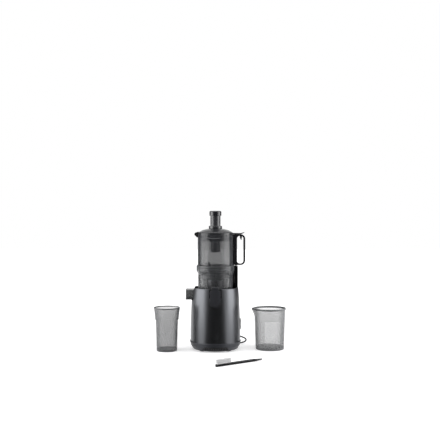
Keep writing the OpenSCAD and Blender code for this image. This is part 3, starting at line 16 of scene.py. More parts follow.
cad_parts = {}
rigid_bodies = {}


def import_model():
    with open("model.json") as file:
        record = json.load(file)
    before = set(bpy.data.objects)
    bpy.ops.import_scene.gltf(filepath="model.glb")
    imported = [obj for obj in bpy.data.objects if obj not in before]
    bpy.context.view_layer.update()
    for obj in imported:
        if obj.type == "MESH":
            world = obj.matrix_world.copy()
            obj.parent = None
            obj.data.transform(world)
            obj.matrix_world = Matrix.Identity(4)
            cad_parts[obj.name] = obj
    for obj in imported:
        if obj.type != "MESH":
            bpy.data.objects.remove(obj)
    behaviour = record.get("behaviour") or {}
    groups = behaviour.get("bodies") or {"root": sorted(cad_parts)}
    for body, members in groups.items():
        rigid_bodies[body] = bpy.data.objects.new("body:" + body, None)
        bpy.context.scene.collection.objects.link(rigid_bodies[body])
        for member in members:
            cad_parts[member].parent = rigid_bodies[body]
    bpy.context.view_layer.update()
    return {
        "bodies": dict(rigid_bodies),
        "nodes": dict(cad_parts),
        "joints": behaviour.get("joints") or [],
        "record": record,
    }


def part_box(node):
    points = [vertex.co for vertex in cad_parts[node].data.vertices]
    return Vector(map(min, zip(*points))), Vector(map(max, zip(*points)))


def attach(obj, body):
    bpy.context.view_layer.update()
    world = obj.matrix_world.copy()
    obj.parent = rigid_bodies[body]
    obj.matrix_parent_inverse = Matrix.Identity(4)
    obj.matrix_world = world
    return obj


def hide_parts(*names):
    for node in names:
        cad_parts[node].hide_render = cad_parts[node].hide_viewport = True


log = logging.getLogger("juicer")
MM = 0.001
WELD = 0.000002  # metres: points closer than this become one
SHARP = 40.0  # degrees: edges past this angle stay sharp
CORNER = 38.0  # degrees: edges past this angle are rounded on a softened piece
SOFT = 50.0  # degrees: the same as SHARP, once a piece is softened
Point = tuple[float, float]
Point3 = tuple[float, float, float]
Colour = tuple[float, float, float]
Frame = dict[str, Any]
Inputs = dict[Any, Any] | None
Piece = bpy.types.Object
Material = bpy.types.Material


class Num:
    """A socket that takes part in sums as a number does."""

    def __init__(self, tree: bpy.types.NodeTree, socket: bpy.types.NodeSocket) -> None:
        """Keeps the tree and the socket."""
        self.tree = tree
        self.socket = socket

    def _math(self, operation: str, first: Any, second: Any) -> Num:
        """Adds one Math node.

        Args:
            operation: the node's operation.
            first: number or Num for the first input.
            second: number or Num for the second input.

        Returns:
            The result as a Num.
        """
        node = lay(self.tree, "ShaderNodeMath", {0: first, 1: second}, {"operation": operation})
        return Num(self.tree, node.outputs[0])

    def __add__(self, other: Any) -> Num:
        """Sum."""
        return self._math("ADD", self, other)

    __radd__ = __add__

    def __sub__(self, other: Any) -> Num:
        """Difference."""
        return self._math("SUBTRACT", self, other)

    def __rsub__(self, other: Any) -> Num:
        """Difference with a plain number first."""
        return self._math("SUBTRACT", other, self)

    def __mul__(self, other: Any) -> Num:
        """Product."""
        return self._math("MULTIPLY", self, other)

    __rmul__ = __mul__

    def __truediv__(self, other: Any) -> Num:
        """Quotient."""
        return self._math("DIVIDE", self, other)

    def __pow__(self, other: Any) -> Num:
        """Power."""
        return self._math("POWER", self, other)

    def apply(self, operation: str, other: Any = 0.0) -> Num:
        """Any other operation of the Math node, such as FRACT or LESS_THAN."""
        return self._math(operation, self, other)


def lay(tree: bpy.types.NodeTree, kind: str, sockets: Inputs = None,
        settings: Inputs = None) -> bpy.types.Node:
    """Adds a node to a tree.

    Args:
        tree: the nodes of a material, the world or a shape.
        kind: the node's type.
        sockets: a value, a link or a list of links, by input name or number.
        settings: attributes that are set first.

    Returns:
        The node.
    """
    node = tree.nodes.new(kind)
    for key, value in (settings or {}).items():
        setattr(node, key, value)
    for key, value in (sockets or {}).items():
        for each in value if isinstance(value, list) else [value]:
            each = each.socket if isinstance(each, Num) else each
            if isinstance(each, bpy.types.NodeSocket):
                tree.links.new(each, node.inputs[key])
            else:
                node.inputs[key].default_value = each
    return node


class Tree:
    """A node tree while its nodes are being laid."""

    def __init__(self, tree: bpy.types.NodeTree) -> None:
        """Keeps the tree."""
        self.tree = tree

    def add(self, kind: str, sockets: Inputs = None, settings: Inputs = None, out: Any = 0) -> Num:
        """Adds a node as lay does and gives back one of its outputs."""
        return Num(self.tree, lay(self.tree, kind, sockets, settings).outputs[out])

    def split(self, vector: Num) -> tuple[Num, ...]:
        """The three numbers of a vector."""
        parts = lay(self.tree, "ShaderNodeSeparateXYZ", {0: vector}).outputs
        return tuple(Num(self.tree, part) for part in parts)


class Shade(Tree):
    """One material while its nodes are being laid."""

    def __init__(self, name: str) -> None:
        """Starts an empty material of that name."""
        self.material = bpy.data.materials.new(name)
        self.material.use_nodes = True
        super().__init__(self.material.node_tree)
        self.tree.nodes.clear()

    def coords(self) -> Num:
        """The piece's own coordinates, in metres."""
        return self.add("ShaderNodeTexCoord", out="Object")

    def axes(self) -> tuple[Num, ...]:
        """The three coordinates as numbers."""
        return self.split(self.coords())

    def inside(self, x: Num, y: Num, z: Num, edges: Sequence[float]) -> Num:
        """One on the front within the left, right, lower and upper edge in millimetres, else zero."""
        left, right, low, high = (edge * MM for edge in edges)
        across = x.apply("GREATER_THAN", left) * x.apply("LESS_THAN", right)
        up = z.apply("GREATER_THAN", low) * z.apply("LESS_THAN", high)
        return across * up * y.apply("LESS_THAN", 0.0)

    def noise(self, scale: float, detail: float, stretch: Point3 = (1, 1, 1)) -> Num:
        """Noise over the piece.

        Args:
            scale: cells to a metre.
            detail: octaves.
            stretch: scale along each axis.

        Returns:
            A number about one half.
        """
        place = self.add("ShaderNodeMapping", {"Vector": self.coords(), "Scale": stretch})
        return self.add("ShaderNodeTexNoise", {"Vector": place, "Scale": scale, "Detail": detail})

    def blend(self, share: Any, first: Any, second: Any) -> Num:
        """A colour between two colours.

        Args:
            share: number or Num, 0 for the first.
            first: colour or Num.
            second: colour or Num.

        Returns:
            The colour.
        """
        first, second = (value if isinstance(value, Num) else (*value, 1) for value in (first, second))
        return self.add("ShaderNodeMix", {0: share, 6: first, 7: second}, {"data_type": "RGBA"}, 2)

    def toned(self, share: Num, colour: Colour, first: float, second: float) -> Num:
        """The colour times the first number where the share is 0, and times the second where it is 1."""
        ends = ([min(1.0, max(0.0, part * times)) for part in colour] for times in (first, second))
        return self.blend(share, *ends)

    def bump(self, height: Num, depth: float, strength: float) -> Num:
        """A normal bent by a height in shares of depth, which is in metres."""
        return self.add("ShaderNodeBump", {"Strength": strength, "Distance": depth, "Height": height})

    def surface(self, sockets: dict[str, Any]) -> Material:
        """Ends the material in one Principled shader with those inputs."""
        lay(self.tree, "ShaderNodeOutputMaterial", {0: self.add("ShaderNodeBsdfPrincipled", sockets)})
        return self.material


@dataclass(frozen=True)
class Moulded:
    """Moulded plastic, rubber or a satin coat of paint.

    Four edges in millimetres, left, right, lower and upper, mark a front panel painted near black: painted
    shade of vent slots.
    Grain and cloud are cells to a metre, and wear and mottle are how far each changes the roughness.
    """

    name: str
    colour: Colour
    roughness: float = 0.4
    grain: float = 900.0
    relief: float = 0.00004
    variation: float = 0.12
    metallic: float = 0.0
    coat: float = 0.0
    sheen: float = 0.5
    painted_shade_panel: tuple[float, ...] = ()
    painted_shade_colour: Colour = (0.004, 0.004, 0.005)
    cloud: float = 18.0
    wear: float = 0.28
    mottle: float = 0.05

    def make(self) -> Material:
        """Lays the nodes."""
        shade = Shade(self.name)
        broad = shade.noise(self.cloud, 2.0)
        fine = shade.noise(self.grain, 2.0)
        colour = shade.toned(broad, self.colour, 1 - self.variation, 1 + self.variation)
        # Painted shade: a near black panel on the front, set for the skirt's vent slots.
        if self.painted_shade_panel:
            x, y, z = shade.axes()
            colour = shade.blend(shade.inside(x, y, z, self.painted_shade_panel), colour, self.painted_shade_colour)
        rough = self.roughness * (1 - self.wear / 2 + self.wear * broad)
        return shade.surface({
            "Base Color": colour,
            "Roughness": rough + self.mottle * (fine - 0.5),
            "Metallic": self.metallic,
            "Coat Weight": self.coat,
            "Coat Roughness": 0.08,
            "Specular IOR Level": self.sheen,
            "Normal": shade.bump(fine, self.relief, 0.5),
        })


@dataclass(frozen=True)
class SatinMetal:
    """The base's sleeve: dark coated metal with the fine vertical draw lines of its forming."""

    name: str
    colour: Colour
    roughness: float = 0.3
    draw: float = 900.0
    stretch: Point3 = (1, 1, 0.02)
    cloud: float = 11.0
    variation: float = 0.12
    relief: float = 0.00002

    def make(self) -> Material:
        """Lays the nodes."""
        shade = Shade(self.name)
        lines = shade.noise(self.draw, 3.0, self.stretch)
        broad = shade.noise(self.cloud, 2.0)
        return shade.surface({
            "Base Color": shade.toned(lines, self.colour, 1 - self.variation, 1 + self.variation),
            "Metallic": 0.92,
            "Roughness": self.roughness + 0.08 * (lines - 0.5) + 0.05 * (broad - 0.5),
            "Normal": shade.bump(lines, self.relief, 0.35),
        })


@dataclass(frozen=True)
class Steel:
    """Turned or rolled steel, with lines round the axis it was turned on."""

    name: str
    colour: Colour
    roughness: float = 0.28
    lines: float = 1500.0
    stretch: Point3 = (0.04, 0.04, 1)
    tones: Point = (0.85, 1.1)
    relief: float = 0.00002

    def make(self) -> Material:
        """Lays the nodes."""
        shade = Shade(self.name)
        lines = shade.noise(self.lines, 3.0, self.stretch)
        return shade.surface({
            "Base Color": shade.toned(lines, self.colour, *self.tones),
            "Metallic": 1.0,
            "Roughness": self.roughness + 0.14 * (lines - 0.5),
            "Normal": shade.bump(lines, self.relief, 0.4),
        })


@dataclass(frozen=True)
class Smoked:
    """Clear plastic tinted grey: it lets the light through and darkens where it's seen edge on.

    Each band has the heights where it starts and ends, in millimetres, and the cover that it adds.
    A window is the four edges of a front panel, as in Moulded, and the cover it takes away.
    """

    name: str
    colour: Colour
    cover: float
    edge: float = 0.35
    roughness: float = 0.12
    bands: tuple[Point3, ...] = ()
    window: tuple[float, ...] = ()
    cloud: float = 14.0
    tones: Point = (0.95, 1.05)
    wear: float = 0.2
    relief: float = 0.00006

    def make(self) -> Material:
        """Lays the nodes."""
        shade = Shade(self.name)
        broad = shade.noise(self.cloud, 1.0)
        facing = shade.add("ShaderNodeLayerWeight", {"Blend": 0.5}, out="Facing")
        cover = self.cover + self.edge * facing ** 2.0
        x, y, z = shade.axes()
        for low, high, more in self.bands:
            cover = cover + more * z.apply("GREATER_THAN", low * MM) * z.apply("LESS_THAN", high * MM)
        if self.window:
            *edges, less = self.window
            cover = cover - less * shade.inside(x, y, z, edges)
        return shade.surface({
            "Base Color": shade.toned(broad, self.colour, *self.tones),
            "Roughness": self.roughness * (1 - self.wear / 2 + self.wear * broad),
            "Alpha": cover.apply("MINIMUM", 1.0),
            "IOR": 1.5,
            "Normal": shade.bump(broad, self.relief, 0.2),
        })


@dataclass(frozen=True)
class Nylon:
    """Natural nylon of the gears, a little waxy, with a trace of grease in the valleys of its grain."""

    name: str
    colour: Colour = (0.74, 0.7, 0.58)
    spread: float = 0.6
    grain: float = 1400.0
    relief: float = 0.00003

    def make(self) -> Material:
        """Lays the nodes."""
        shade = Shade(self.name)
        grease = shade.noise(60.0, 4.0).apply("GREATER_THAN", self.spread)
        fine = shade.noise(self.grain, 2.0)
        return shade.surface({
            "Base Color": shade.toned(grease, self.colour, 1, 0.82),
            "Roughness": 0.45 - 0.2 * grease + 0.06 * (fine - 0.5),
            "Subsurface Weight": 0.05,
            "Normal": shade.bump(fine, self.relief, 0.4),
        })


@dataclass(frozen=True)
class CircuitBoard:
    """Green board with the lighter strips of its tracks under the lacquer.

    Lanes, shifts and runs are counted to a metre, and the widths are shares of a lane and of a run.
    """

    name: str
    board: Colour = (0.015, 0.11, 0.05)
    track: Colour = (0.05, 0.24, 0.12)
    lanes: float = 320.0
    lane_width: float = 0.35
    shifts: float = 40.0
    runs: float = 90.0
    run_width: float = 0.8
    relief: float = 0.00004

    def make(self) -> Material:
        """Lays the nodes."""
        shade = Shade(self.name)
        x, _, z = shade.axes()
        lane = z * self.lanes + (x * self.shifts).apply("FLOOR") * 0.5
        strips = lane.apply("FRACT").apply("LESS_THAN", self.lane_width)
        runs = (x * self.runs).apply("FRACT").apply("LESS_THAN", self.run_width)
        return shade.surface({
            "Base Color": shade.blend(strips * runs, self.board, self.track),
            "Roughness": 0.3 + 0.15 * strips,
            "Normal": shade.bump(strips, self.relief, 0.5),
        })


MADE: dict[str, Material] = {}


class Finish(Enum):
    """Every finish on the juicer, by the surface it is for."""

    SLEEVE = SatinMetal("sleeve_coat", (0.1, 0.103, 0.11))
    # The near black panel on the skirt's front is painted shade of the vent slots.
    SKIRT = Moulded("skirt_satin", (0.032, 0.034, 0.041), metallic=0.25, painted_shade_panel=(-38.0, 40.0, 8.5, 19.0))
    BLACK = Moulded("black_satin", (0.012, 0.012, 0.014), 0.42)
    TOWER = Moulded("tower_black", (0.004, 0.004, 0.005), 0.55, sheen=0.12)
    GLOSS = Moulded("black_gloss", (0.014, 0.014, 0.017), 0.24, grain=1500.0, relief=0.00001,
                    variation=0.1, coat=0.4)
    CAP = Moulded("cap_black", (0.024, 0.025, 0.03), grain=1300.0, relief=0.00002, variation=0.1)
    RUBBER = Moulded("soft_rubber", (0.016, 0.016, 0.016), 0.62, grain=700.0, relief=0.00008)
    CASE = Moulded("case_moulding", (0.4, 0.41, 0.43), 0.5)
    NYLON = Nylon("natural_nylon")
    STEEL = Steel("turned_steel", (0.5, 0.5, 0.52))
    SHEET = Steel("sheet_steel", (0.36, 0.36, 0.38), 0.36)
    CAN = Moulded("motor_can_paint", (0.3, 0.31, 0.33), 0.35, metallic=0.8)
    BOARD = CircuitBoard("green_board")
    BOWL = Smoked("bowl_smoke", (0.095, 0.098, 0.103), cover=0.31, edge=0.8, roughness=0.22,
                  bands=((276.0, 293.0, 0.14), (167.0, 174.0, 0.12)))
    DUCT = Smoked("duct_smoke", (0.075, 0.077, 0.08), cover=0.62)
    JUG = Smoked("jug_smoke", (0.055, 0.057, 0.062), cover=0.43, edge=0.75, roughness=0.16)
    LID = Smoked("lid_smoke", (0.03, 0.031, 0.034), cover=0.78)
    CUP = Smoked("cup_smoke", (0.11, 0.113, 0.118), cover=0.31, edge=0.8, roughness=0.2,
                 bands=((145.0, 150.0, 0.5), (-1.0, 7.0, 0.4)))
    PULP = Smoked("pulp_smoke", (0.13, 0.134, 0.14), cover=0.24, edge=0.7, roughness=0.2,
                  bands=((136.0, 144.0, 0.5), (-1.0, 7.0, 0.4)), window=(169.0, 222.0, 9.0, 100.0, 0.09))
    AUGER = Moulded("auger_charcoal", (0.032, 0.032, 0.036), 0.3, grain=1100.0, relief=0.00003,
                    variation=0.15)
    FRAME = Smoked("strainer_smoke", (0.1, 0.102, 0.107), cover=0.6)
    RIDGE = Smoked("ridge_smoke", (0.018, 0.019, 0.021), cover=0.93, edge=0.2, roughness=0.3)
    SEAL = Moulded("silicone_seal", (0.03, 0.03, 0.032), 0.5, grain=500.0)
    GREY = Moulded("mid_grey", (0.32, 0.33, 0.34), 0.35)
    BRISTLE = Moulded("nylon_bristle", (0.96, 0.96, 0.96), 0.5, grain=300.0, relief=0.00001, variation=0.04)
    PIN = Moulded("pin_grey", (0.07, 0.07, 0.075), 0.35)
    PLUNGER = Moulded("plunger_grey", (0.036, 0.036, 0.04), 0.24, grain=1300.0, relief=0.00001,
                      variation=0.1, coat=0.3)

    def material(self) -> Material:
        """The material, made once."""
        if self.name not in MADE:
            MADE[self.name] = self.value.make()
        return MADE[self.name]


def shown(name: str, data: bpy.types.ID) -> Piece:
    """Puts a mesh, curve, lamp or camera in the scene under a name."""
    piece = bpy.data.objects.new(name, data)
    bpy.context.scene.collection.objects.link(piece)
    return piece


def crease(bm: bmesh.types.BMesh, sharp: float) -> None:
    """Shades geometry smooth except where faces meet at more than an angle in degrees."""
    limit = math.radians(sharp)
    for face in bm.faces:
        face.smooth = True
    for edge in bm.edges:
        edge.smooth = len(edge.link_faces) != 2 or edge.calc_face_angle(0.0) < limit


def settle(bm: bmesh.types.BMesh, name: str, finish: Finish, sharp: float = SHARP) -> Piece:
    """Turns edited geometry into a piece.

    Args:
        bm: the geometry, in metres.
        name: the piece's name.
        finish: its finish.
        sharp: angle in degrees past which edges stay sharp.

    Returns:
        The piece.
    """
    crease(bm, sharp)
    mesh = bpy.data.meshes.new(name)
    bm.to_mesh(mesh)
    bm.free()
    mesh.materials.append(finish.material())
    return shown(name, mesh)


def revolve(name: str, profile: Sequence[Point], finish: Finish, segments: int) -> Piece:
    """Turns a closed profile about the upright axis.

    Args:
        name: the piece's name.
        profile: radius and height in millimetres, anticlockwise with the outside to the right.
        finish: its finish.
        segments: steps round the axis.

    Returns:
        The piece.
    """
    bm = bmesh.new()
    rings = []
    for r, z in profile:
        turns = [2 * math.pi * k / segments for k in range(segments if r > 0 else 1)]
        rings.append([bm.verts.new((r * math.cos(a) * MM, r * math.sin(a) * MM, z * MM)) for a in turns])
    for i, low in enumerate(rings):
        high = rings[(i + 1) % len(rings)]
        for k in range(segments):
            m = (k + 1) % segments
            ends = ((low, k), (low, m), (high, m), (high, k))
            corners = list(dict.fromkeys(ring[spot % len(ring)] for ring, spot in ends))
            if len(corners) > 2:
                bm.faces.new(corners)
    bmesh.ops.recalc_face_normals(bm, faces=bm.faces)
    return settle(bm, name, finish)


def bake(piece: Piece) -> Piece:
    """Turns a piece with modifiers into the plain mesh they make."""
    bpy.context.view_layer.update()
    graph = bpy.context.evaluated_depsgraph_get()
    mesh = bpy.data.meshes.new_from_object(piece.evaluated_get(graph), depsgraph=graph)
    piece.modifiers.clear()
    piece.data = mesh
    return piece


def smooth(piece: Piece, sharp: float) -> Piece:
    """Shades a piece smooth except at edges sharper than an angle in degrees."""
    bm = bmesh.new()
    bm.from_mesh(piece.data)
    crease(bm, sharp)
    bm.to_mesh(piece.data)
    bm.free()
    return piece


class Grower(Tree):
    """A Geometry Nodes tree with named inputs, run once and turned into a plain mesh."""

    def __init__(self, name: str, sizes: dict[str, float | int]) -> None:
        """Starts the tree.

        Args:
            name: its name.
            sizes: its inputs and their values; a whole number makes a whole-number input.
        """
        super().__init__(bpy.data.node_groups.new(name, "GeometryNodeTree"))
        self.sizes = sizes
        face = self.tree.interface
        face.new_socket("Geometry", in_out="INPUT", socket_type="NodeSocketGeometry")
        self.names: dict[str, str] = {}
        for label, value in sizes.items():
            kind = "NodeSocketInt" if isinstance(value, int) else "NodeSocketFloat"
            self.names[label] = face.new_socket(label, in_out="INPUT", socket_type=kind).identifier
        face.new_socket("Geometry", in_out="OUTPUT", socket_type="NodeSocketGeometry")
        self.entry = self.tree.nodes.new("NodeGroupInput")

    def given(self, label: str) -> Num:
        """A named input."""
        return Num(self.tree, self.entry.outputs[label])

    def vector(self, x: Any = 0.0, y: Any = 0.0, z: Any = 0.0) -> Num:
        """A vector of three numbers."""
        return self.add("ShaderNodeCombineXYZ", {"X": x, "Y": y, "Z": z})

    def around(self, radius: Num, angle: Num, height: Num) -> Num:
        """A place given by its radius, angle and height."""
        return self.vector(radius * angle.apply("COSINE"), radius * angle.apply("SINE"), height)

    def grid(self, long: Any, wide: Any, columns: Any, rows: Any) -> Num:
        """A flat grid with that many points along X and along Y."""
        return self.add("GeometryNodeMeshGrid", {
            "Size X": long, "Size Y": wide, "Vertices X": columns, "Vertices Y": rows})

    def moved(self, shape: Num, by: Any, turn: Point3 = (0, 0, 0)) -> Num:
        """A shape turned by angles in radians and moved."""
        return self.add("GeometryNodeTransform", {"Geometry": shape, "Translation": by, "Rotation": turn})

    def grow(self, name: str, shape: Num, finish: Finish, sharp: float = SHARP,
             start: Sequence[Point3] = ()) -> Piece:
        """Realizes the shape, gives it its finish and turns it into a plain mesh.

        Args:
            name: the piece's name.
            shape: the geometry or instances.
            finish: its finish.
            sharp: angle past which edges stay sharp.
            start: points in millimetres that the tree starts from.

        Returns:
            The piece.
        """
        real = self.add("GeometryNodeRealizeInstances", {0: shape})
        finished = self.add("GeometryNodeSetMaterial", {"Geometry": real, "Material": finish.material()})
        lay(self.tree, "NodeGroupOutput", {0: finished})
        piece = shown(name, bpy.data.meshes.new(name))
        piece.data.from_pydata([Vector(p) * MM for p in start], [], [])
        grown = piece.modifiers.new("grow", "NODES")
        grown.node_group = self.tree
        for label, value in self.sizes.items():
            grown[self.names[label]] = value
        return smooth(bake(piece), sharp)


def turned(name: str, outline: Sequence[Point], finish: Finish, start: float = 0.0, sweep: float = 360.0,
           steps: int = 96, copies: int = 1) -> Piece:
    """Sweeps a closed outline about the upright axis, in equal copies round it.

    Args:
        name: the piece's name.
        outline: radius and height in millimetres, in order.
        finish: its finish.
        start: the angle in degrees where the sweep starts.
        sweep: how far it goes, in degrees.
        steps: steps along it.
        copies: copies round the axis.

    Returns:
        The piece, closed at its ends.
    """
    grow = Grower(name, {"Start": math.radians(start), "Sweep": math.radians(sweep), "Steps": steps,
                         "Corners": len(outline), "Copies": copies})
    corners = grow.given("Corners")
    here = grow.add("GeometryNodeInputPosition")
    along, across, _ = grow.split(here)
    sheet = grow.grid(1.0, 1.0, grow.given("Steps") + 1.0, corners + 1.0)
    corner = ((across + 0.5) * corners).apply("ROUND").apply("MODULO", corners)
    spot = grow.add("GeometryNodeSampleIndex", {
        "Geometry": grow.given("Geometry"), "Value": here, "Index": corner}, {"data_type": "FLOAT_VECTOR"})
    radius, _, height = grow.split(spot)
    angle = grow.given("Start") + grow.given("Sweep") * (along + 0.5)
    sheet = grow.add("GeometryNodeSetPosition", {
        "Geometry": sheet, "Position": grow.around(radius, angle, height)})
    sheet = grow.add("GeometryNodeMergeByDistance", {"Geometry": sheet, "Distance": WELD})
    spread = grow.add("GeometryNodeInputIndex") * (2 * math.pi) / grow.given("Copies")
    points = grow.add("GeometryNodeMeshLine", {"Count": grow.given("Copies"), "Offset": (0, 0, 0)})
    every = grow.add("GeometryNodeInstanceOnPoints", {
        "Points": points, "Instance": sheet, "Rotation": grow.vector(z=spread)})
    piece = grow.grow(name, every, finish, start=[(r, 0, z) for r, z in outline])
    bm = bmesh.new()
    bm.from_mesh(piece.data)
    bmesh.ops.holes_fill(bm, edges=[e for e in bm.edges if e.is_boundary], sides=0)
    bmesh.ops.recalc_face_normals(bm, faces=bm.faces)
    bm.to_mesh(piece.data)
    bm.free()
    return smooth(piece, SHARP)


def reach(frame: Frame, node: str, height: float) -> float:
    """Largest radius of a solid at a height, both in millimetres, away from what stands out along X."""
    mesh = frame["nodes"][node].data
    best = 0.0
    for edge in mesh.edges:
        a, b = (mesh.vertices[i].co / MM for i in edge.vertices)
        if (a.z - height) * (b.z - height) <= 0 and a.z != b.z:
            p = a.lerp(b, (height - a.z) / (b.z - a.z))
            if abs(p.y) > abs(p.x):
                best = max(best, math.hypot(p.x, p.y))
    return best


def softened(frame: Frame, node: str, finish: Finish, width: float, body: str) -> Piece:
    """A copy of a solid with its hard edges rounded, which stands for it.

    Args:
        node: the solid's name.
        finish: its finish.
        width: width of the rounding in millimetres.
        body: the body it rides on.

    Returns:
        The piece.
    """
    bm = bmesh.new()
    bm.from_mesh(frame["nodes"][node].data)
    bmesh.ops.remove_doubles(bm, verts=bm.verts, dist=WELD)
    bmesh.ops.dissolve_limit(bm, angle_limit=math.radians(0.3), verts=bm.verts, edges=bm.edges)
    piece = settle(bm, f"{node}_skin", finish, CORNER)
    edge = piece.modifiers.new("edge", "BEVEL")
    edge.width = width * MM
    edge.segments = 2
    edge.limit_method = "ANGLE"
    edge.angle_limit = math.radians(CORNER)
    edge.use_clamp_overlap = True
    return rides(smooth(bake(piece), SOFT), body, node)


def rides(piece: Piece, body: str, *nodes: str) -> Piece:
    """Lets a piece move with a body and stand for solids, and reports it."""
    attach(piece, body)
    if nodes:
        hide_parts(*nodes)
    log.info("%s rides on %s, %d faces", piece.name, body, len(piece.data.polygons))
    return piece


def dress(frame: Frame, finish: Finish, *nodes: str) -> None:
    """Gives solids a finish."""
    for node in nodes:
        mesh = frame["nodes"][node].data
        mesh.materials.clear()
        mesh.materials.append(finish.material())
        log.info("%s keeps its solid, finished in %s", node, finish.value.name)


class Assembly:
    """A group of pieces.

    Kept gives a finish and the solids it goes on. Rounded gives a solid, its finish, the width in millimetres
    that its edges are rounded by, and the body it rides on.
    """

    kept: ClassVar[tuple[tuple, ...]] = ()
    rounded: ClassVar[tuple[tuple, ...]] = ()

    def build(self, frame: Frame) -> None:
        """Dresses and details the group."""
        for row in self.kept:
            dress(frame, *row)
        for row in self.rounded:
            softened(frame, *row)
        self.details(frame)

    def details(self, frame: Frame) -> None:
        """Adds what the solids don't show, where a group has any."""


@dataclass
class Studio:
    """Floor, soft boxes, dark cards, background and camera, in metres, degrees and watts.

    A card has a name, an azimuth to the right of the camera's side, a distance, a width and a height. A box
    has a name, its place, the point it faces, its width and height, and its power.
    """

    focal: float = 51.95
    sensor: float = 36.0
    eye: Point3 = (0.016, -2.222, 0.432)
    shift: float = 0.0114
    sight: float = 50.0
    fill: float = 0.3
    floor_half: float = 9.0
    floor_drop: float = 0.0004
    paper: Colour = (0.86, 0.86, 0.87)
    fade_from: float = 0.45
    fade_over: float = 0.9
    near_lift: float = 0.5
    far_lift: float = 1.1
    black: Colour = (0.01, 0.01, 0.01)
    table_lift: float = 0.001
    table: tuple[Point, ...] = (
        (-0.08, -0.1), (0.08, -0.1), (0.42, -0.42), (2.6, -2.7), (-2.6, -2.7), (-0.42, -0.42))
    cards: tuple[tuple, ...] = (
        ("front_card", 0, 2.8, 4.6, 3.0),
        ("left_back_card", -135, 1.9, 1.5, 2.4),
        ("right_back_card", 130, 1.9, 1.7, 2.4))
    boxes: tuple[tuple, ...] = (
        ("left_box", (-1.6, -0.36, 0.78), (0, 0, 0.45), (1.55, 1.9), 30),
        ("right_box", (1.62, -0.3, 0.78), (0, 0, 0.45), (1.2, 1.9), 25),
        ("top_box", (0, -0.3, 2.3), (0, 0, 0.3), (1.8, 1.4), 14))

    def camera(self) -> None:
        """Sets the camera at the photograph's height, level."""
        data = bpy.data.cameras.new("camera")
        data.lens = self.focal
        data.sensor_width = self.sensor
        data.shift_y = self.shift
        data.clip_end = self.sight
        camera = shown("camera", data)
        camera.location = self.eye
        camera.rotation_euler = (math.radians(90), 0, 0)
        bpy.context.scene.camera = camera
        bpy.context.scene.view_settings.view_transform = "Standard"

    def seen(self, tree: Tree) -> Num:
        """One where the eye, a mirror or clear plastic looks at the background, in a tree."""
        path = lay(tree.tree, "ShaderNodeLightPath").outputs
        rays = ("Is Camera Ray", "Is Glossy Ray", "Is Transmission Ray")
        eye, mirror, clear = (Num(tree.tree, path[ray]) for ray in rays)
        return eye.apply("MAXIMUM", mirror).apply("MAXIMUM", clear)

    def backdrop(self) -> None:
        """White behind the object, a dimmer even light on it."""
        world = bpy.data.worlds.new("studio")
        world.use_nodes = True
        tree = Tree(world.node_tree)
        tree.tree.nodes.clear()
        strength = self.fill + (1 - self.fill) * self.seen(tree)
        light = tree.add("ShaderNodeBackground", {"Color": (1, 1, 1, 1), "Strength": strength})
        lay(tree.tree, "ShaderNodeOutputWorld", {0: light})
        bpy.context.scene.world = world

    def floor(self) -> None:
        """A wide pale floor that keeps the shadow."""
        bm = bmesh.new()
        bmesh.ops.create_grid(bm, x_segments=4, y_segments=4, size=self.floor_half)
        piece = settle(bm, "floor", Finish.GREY)
        shade = Shade("floor_paper")
        x, y, _ = shade.axes()
        away = ((x * x + y * y) ** 0.5 - self.fade_from) / self.fade_over
        away = away.apply("MAXIMUM", 0.0).apply("MINIMUM", 1.0)
        shine = self.seen(shade) * (self.near_lift + (self.far_lift - self.near_lift) * away)
        piece.data.materials[0] = shade.surface({
            "Base Color": (*self.paper, 1), "Roughness": 0.9, "Specular IOR Level": 0.1,
            "Emission Color": (1, 1, 1, 1), "Emission Strength": shine,
        })
        piece.data.transform(Matrix.Translation((0, 0, -self.floor_drop)))

    def dark(self, name: str, corners: Sequence[Sequence[float]], clear: bool = True) -> None:
        """A flat black card that shapes what the gloss shows, unseen by the camera.

        Args:
            name: its name.
            corners: its corners in metres.
            clear: whether it's seen through clear plastic.
        """
        bm = bmesh.new()
        bm.faces.new([bm.verts.new(c) for c in corners])
        piece = settle(bm, name, Finish.GREY)
        piece.data.materials[0] = Shade(f"{name}_cloth").surface({
            "Base Color": (*self.black, 1), "Roughness": 1.0, "Specular IOR Level": 0.0})
        piece.visible_camera = piece.visible_shadow = piece.visible_diffuse = False
        piece.visible_transmission = clear

    def card(self, name: str, azimuth: float, distance: float, width: float, height: float) -> None:
        """An upright black card that faces the axis, as in cards."""
        a = math.radians(azimuth)
        middle = Vector((distance * math.sin(a), -distance * math.cos(a), 0))
        side = Vector((math.cos(a), math.sin(a), 0)) * width / 2
        up = Vector((0, 0, height))
        self.dark(name, [middle - side, middle + side, middle + side + up, middle - side + up])

    def box(self, name: str, place: Point3, aim: Point3, size: Point, power: float) -> None:
        """A rectangular soft box, as in boxes."""
        data = bpy.data.lights.new(name, "AREA")
        data.shape = "RECTANGLE"
        data.size, data.size_y = size
        data.energy = power
        lamp = shown(name, data)
        lamp.location = place
        lamp.rotation_euler = (Vector(aim) - Vector(place)).to_track_quat("-Z", "Y").to_euler()

    def build(self) -> None:
        """Makes everything in the studio."""
        self.camera()
        self.backdrop()
        self.floor()
        for card in self.cards:
            self.card(*card)
        self.dark("table_card", [(x, y, self.table_lift) for x, y in self.table], clear=False)
        for box in self.boxes:
            self.box(*box)


